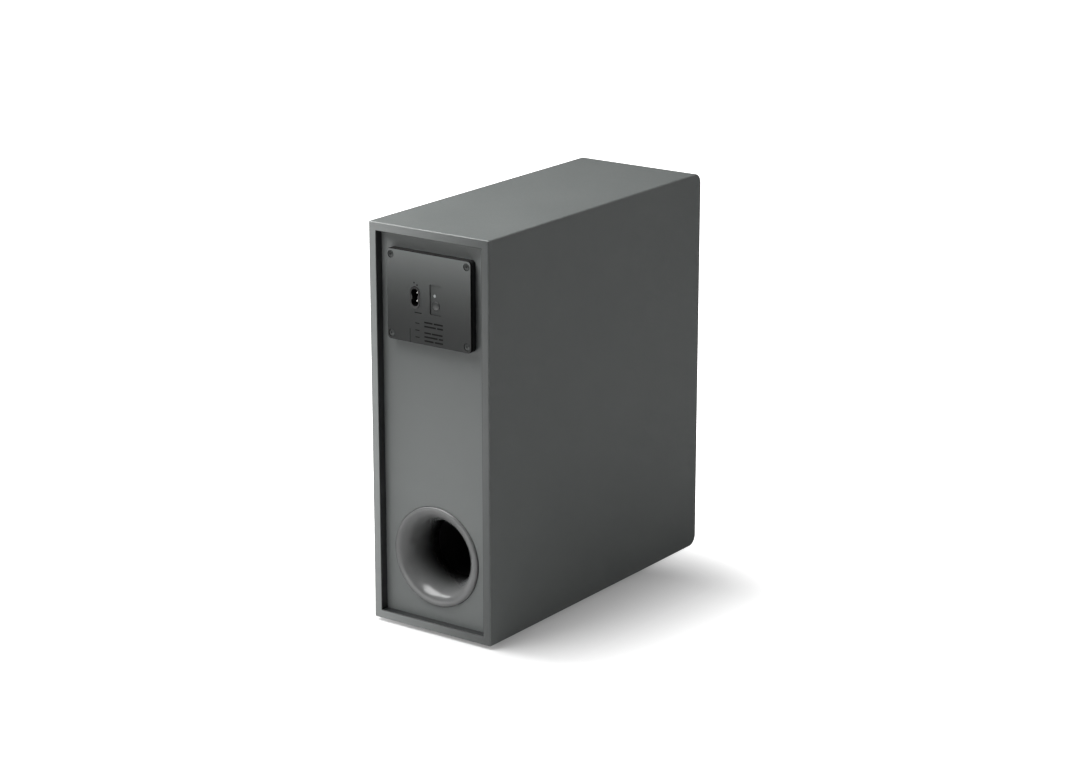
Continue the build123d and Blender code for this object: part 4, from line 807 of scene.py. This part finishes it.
# ---------------------------------------------------------------------------------------------
# Woofer's frame and motor: a pressed steel basket in black paint, a ferrite ring between two steel
# plates, and black screws round the flange
# ---------------------------------------------------------------------------------------------
basket_paint = surface(
    "basket_paint", (0.014, 0.014, 0.014), (0.020, 0.020, 0.020), (0.35, 0.45), cells=1300.0, relief=0.04,
)
ferrite = surface(
    "ferrite", (0.042, 0.042, 0.045), (0.056, 0.056, 0.060), (0.55, 0.68), cells=700.0, relief=0.06,
)
dress(basket_paint, "woofer_basket")
dress(ferrite, "woofer_magnet")
dress(black_steel, "woofer_screws")

# ---------------------------------------------------------------------------------------------
# Cone: pulp paper with a dust cap, glued to an aluminium former with a copper winding. All of it moves
# together in the magnet's gap.
# ---------------------------------------------------------------------------------------------
pulp = surface(
    "pulp_paper", (0.020, 0.020, 0.021), (0.030, 0.030, 0.031), (0.78, 0.88), cells=800.0, relief=0.12,
    mottle_size=70.0,
)
foil = surface("former_foil", (0.66, 0.64, 0.58), (0.72, 0.70, 0.64), (0.25, 0.35), cells=900.0, relief=0.01,
               metallic=1.0)
copper = surface(
    "copper_wire", (0.64, 0.26, 0.11), (0.74, 0.33, 0.15), (0.25, 0.35), cells=700.0, relief=0.03,
    metallic=1.0,
)
dress(pulp, "woofer_cone", "dust_cap")
dress(foil, "coil_former")
dress(copper, "voice_coil")

# ---------------------------------------------------------------------------------------------
# Surround and spider: a moulded rubber half roll and a corrugated varnished cloth disc. Their outer
# lands stay with the basket, and their inner lands move with the cone.
# ---------------------------------------------------------------------------------------------
woofer_low, woofer_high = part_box("woofer_seal")
woofer_centre = Vector((right_high.x, (woofer_low.y + woofer_high.y) / 2, (woofer_low.z + woofer_high.z) / 2))
woofer_turn = Matrix(((0, 0, 1), (1, 0, 0), (0, 1, 0)))


def on_woofer(name, outline, steps, finish, closed=True):
    """Turn an outline of (radius, depth outwards) in millimetres round the woofer's axis."""
    piece = turned(name, [(radius * mm, depth * mm) for radius, depth in outline], steps, closed=closed)
    piece.data.transform(Matrix.Translation(woofer_centre) @ woofer_turn.to_4x4())
    piece.data.materials.append(finish)
    scene.collection.objects.link(piece)
    return piece


def flex_between(piece, outer, inner):
    """The piece stays with the cabinet outside one radius and moves with the cone inside another."""
    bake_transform(piece, "cabinet", "cone_assembly", start=woofer_centre + Vector((0, outer * mm, 0)),
             end=woofer_centre + Vector((0, inner * mm, 0)))
    weights = piece.data.attributes["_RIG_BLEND"].data
    for vertex in piece.data.vertices:
        offset = vertex.co - woofer_centre
        share = (outer * mm - math.hypot(offset.y, offset.z)) / ((outer - inner) * mm)
        share = min(max(share, 0.0), 1.0)
        weights[vertex.index].value = share * share * (3 - 2 * share)


surround_rubber = surface(
    "surround_rubber", (0.012, 0.012, 0.012), (0.018, 0.018, 0.018), (0.5, 0.62), cells=1600.0,
    relief=0.03,
)
spider_cloth = surface("varnished_cloth", (0.36, 0.20, 0.06), (0.46, 0.27, 0.09), (0.5, 0.65), cells=1400.0,
                       relief=0.1, mottle_size=50.0)
roll_middle, roll_depth, roll_front, roll_back = 79.0, -1.6, 6.6, 7.4
front_side = [(roll_middle + roll_front * math.cos(math.radians(a)),
               roll_depth - roll_front * math.sin(math.radians(a))) for a in range(0, 181, 10)]
back_side = [(roll_middle + roll_back * math.cos(math.radians(a)),
              roll_depth - roll_back * math.sin(math.radians(a))) for a in range(176, 2, -10)]
surround = on_woofer("surround_roll", [(91.5, -1.2), (86.0, -1.2)] + front_side + [
    (72.2, -1.7), (68.3, -1.7), (68.3, -2.5), (71.2, -2.5)] + back_side + [(86.4, -2.0), (91.5, -2.0)],
    128, surround_rubber)
flex_between(surround, 85.5, 72.5)
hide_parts("woofer_surround")

ridge_count = 40
ridge_first, ridge_last, ridge_waves, ridge_height = 19.8, 56.0, 5, 0.8
ridges = []
for step in range(ridge_count + 1):
    share = step / ridge_count
    ridges.append((ridge_first + (ridge_last - ridge_first) * share,
                   -41.2 - ridge_height * math.cos(2 * math.pi * ridge_waves * share)))
spider = on_woofer("corrugated_spider", ridges + [(66.5, -42.0), (66.5, -41.4)] + [
    (radius, depth + 0.6) for radius, depth in reversed(ridges)], 96, spider_cloth)
flex_between(spider, 55.0, 22.0)
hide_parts("spider")

# ---------------------------------------------------------------------------------------------
# Terminal strip and leads: a phenolic strip with tinned tabs, and two braided copper leads that hang
# in a loose bow from the tabs to the cone's back
# ---------------------------------------------------------------------------------------------
phenolic = surface(
    "phenolic_paper", (0.13, 0.05, 0.02), (0.17, 0.07, 0.03), (0.4, 0.5), cells=900.0, relief=0.02,
)
dress(phenolic, "woofer_terminal")
lead_points = [(-17.5, 84.6), (-24.5, 79.8), (-30.5, 69.8), (-31.0, 56.8), (-26.0, 46.8), (-17.0, 41.8)]


def cable_along(name, points, thickness, finish, steps=10):
    """A round cable on one smooth curve through free space, as a plain mesh."""
    curve = bpy.data.curves.new(name, "CURVE")
    curve.dimensions = "3D"
    curve.bevel_depth = thickness / 2
    curve.bevel_resolution = 4
    curve.resolution_u = steps
    curve.use_fill_caps = True
    line = curve.splines.new("NURBS")
    line.points.add(len(points) - 1)
    for place, point in zip(line.points, points):
        place.co = (*point, 1.0)
    line.order_u = 3
    line.use_endpoint_u = True
    holder = bpy.data.objects.new(name, curve)
    scene.collection.objects.link(holder)
    bpy.context.view_layer.update()
    mesh = bpy.data.meshes.new_from_object(holder.evaluated_get(bpy.context.evaluated_depsgraph_get()))
    bpy.data.objects.remove(holder)
    mesh.materials.clear()
    mesh.materials.append(finish)
    piece = bpy.data.objects.new(name, mesh)
    scene.collection.objects.link(piece)
    return piece


for lead_name, lead_offset in (("braided_lead_low", -4.0), ("braided_lead_high", 4.0)):
    lead = cable_along(lead_name, [
        woofer_centre + Vector((depth * mm, radius * mm, lead_offset * mm)) for depth, radius in lead_points
    ], 1.4 * mm, copper)
    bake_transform(lead, "cabinet", "cone_assembly", start=woofer_centre + Vector((0, 80 * mm, 0)),
             end=woofer_centre + Vector((0, 46 * mm, 0)))
    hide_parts("tinsel_leads")

# ---------------------------------------------------------------------------------------------
# Cables: PVC-covered leads from the inlet and the control board to the main board, and the woofer's
# cable from the amplifier to the terminal strip
# ---------------------------------------------------------------------------------------------
jacket = surface(
    "cable_jacket", (0.018, 0.018, 0.018), (0.026, 0.026, 0.026), (0.4, 0.5), cells=1100.0, relief=0.02,
)
dress(jacket, "speaker_cable", "inlet_leads", "control_lead")

# ---------------------------------------------------------------------------------------------
# Wadding: a loose polyester mat glued to the plain side's inner face, thick and uneven
# ---------------------------------------------------------------------------------------------
fleece = surface(
    "polyester_fleece", (0.72, 0.72, 0.70), (0.82, 0.82, 0.80), (0.9, 0.98), cells=240.0, relief=0.8,
    mottle_size=40.0,
)
pad_low, pad_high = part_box("wadding_pad")
pad_middle = (pad_low + pad_high) / 2
pad_half = (pad_high - pad_low) / 2
pad_shape = bmesh.new()
bmesh.ops.create_cube(pad_shape, size=2.0)
bmesh.ops.subdivide_edges(pad_shape, edges=pad_shape.edges, cuts=23, use_grid_fill=True)
for vertex in pad_shape.verts:
    flat_u, flat_v = vertex.co.y, vertex.co.z
    rounding = (1 - abs(flat_u) ** 10) ** 0.5 * (1 - abs(flat_v) ** 10) ** 0.5
    swell = 0.86 + 0.14 * noise.noise(Vector((flat_u * 4, flat_v * 4, 0.0)))
    thick = (vertex.co.x + 1) / 2 * rounding * swell
    narrow = 1 - 0.03 * (1 + noise.noise(Vector((flat_u * 3, flat_v * 3, 5.0))))
    vertex.co = pad_middle + Vector((
        pad_half.x * (2 * thick - 1), pad_half.y * flat_u * narrow, pad_half.z * flat_v * narrow))
bmesh.ops.remove_doubles(pad_shape, verts=pad_shape.verts, dist=1e-6)
bmesh.ops.recalc_face_normals(pad_shape, faces=pad_shape.faces)
for face in pad_shape.faces:
    face.smooth = True
pad_mesh = bpy.data.meshes.new("wadding_mat")
pad_shape.to_mesh(pad_mesh)
pad_shape.free()
pad_mesh.materials.append(fleece)
wadding = bpy.data.objects.new("wadding_mat", pad_mesh)
scene.collection.objects.link(wadding)
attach(wadding, "cabinet")
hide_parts("wadding_pad")

# ---------------------------------------------------------------------------------------------
# Grille: a moulded frame with rings and spokes, held by pegs in rubber cups, under a stretched
# polyester cloth that is glued round its rim
# ---------------------------------------------------------------------------------------------
grille_plastic = surface(
    "grille_plastic", (0.014, 0.014, 0.014), (0.020, 0.020, 0.020), (0.5, 0.6), cells=1300.0, relief=0.03,
)
dress(grille_plastic, "grille_frame")
dress(foot_rubber, "grille_cups")
weave = bpy.data.materials.new("grille_weave")
weave.use_nodes = True
weave_tree = weave.node_tree
weave_shader = weave_tree.nodes["Principled BSDF"]
weave_shader.inputs["Specular IOR Level"].default_value = 0.25
weave_shader.inputs["Sheen Weight"].default_value = 0.25
weave_shader.inputs["Sheen Roughness"].default_value = 0.5
weave_place = parts_of(weave_tree, "TexCoord", "Object")
thread_pitch = 1.1 * mm
thread_phase = math.pi / thread_pitch
waves = []
for axis in "YZ":
    turns = maths(weave_tree, "MULTIPLY", weave_place[axis], thread_phase)
    waves.append(maths(weave_tree, "SINE", turns))
over, under = (maths(weave_tree, "ABSOLUTE", wave) for wave in waves)
checker = maths(weave_tree, "MULTIPLY", *waves)
threads = maths(weave_tree, "MAXIMUM", over, under)
weave_height = maths(weave_tree, "ADD", threads, maths(weave_tree, "MULTIPLY", checker, 0.35))
holes = maths(weave_tree, "MULTIPLY", over, under)
weave_tones = mixed(weave_tree, holes, (0.010, 0.011, 0.011), (0.046, 0.049, 0.048))
weave_mottle = put(weave_tree, "ShaderNodeGroup", {}, {}, node_tree=grain)
weave_share = maths(weave_tree, "MULTIPLY", weave_mottle.outputs["Mottle"], 0.3)
weave_dull = mixed(weave_tree, weave_share, weave_tones, (0.034, 0.036, 0.035))
weave_tree.links.new(weave_dull, weave_shader.inputs["Base Color"])
weave_gloss = put(weave_tree, "ShaderNodeMapRange", {"To Min": 0.75, "To Max": 0.9}, {
    "Value": weave_mottle.outputs["Mottle"]})
weave_tree.links.new(weave_gloss.outputs["Result"], weave_shader.inputs["Roughness"])
weave_bump = put(weave_tree, "ShaderNodeBump", {"Strength": 0.8, "Distance": 0.25 * mm}, {
    "Height": weave_height})
weave_tree.links.new(weave_bump.outputs["Normal"], weave_shader.inputs["Normal"])
cloth_shoulder = [(114.5 + 3.5 * math.sin(math.radians(a)), 5.5 + 3.5 * math.cos(math.radians(a)))
                  for a in range(0, 91, 9)]
inner_shoulder = [(114.5 + 3.2 * math.sin(math.radians(a)), 5.5 + 3.2 * math.cos(math.radians(a)))
                  for a in range(90, -1, -9)]
cloth_rings = [0.0, 12.0, 28.0, 46.0, 64.0, 82.0, 98.0, 108.0]
cloth = on_woofer("stretched_cloth", [(radius, 9.0) for radius in cloth_rings] + cloth_shoulder + [
    (118.0, 0.3), (117.7, 0.3)] + inner_shoulder + [(radius, 8.7) for radius in reversed(cloth_rings)],
    160, weave, closed=False)
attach(cloth, "cabinet")
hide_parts("grille_cloth")

bpy.context.view_layer.update()
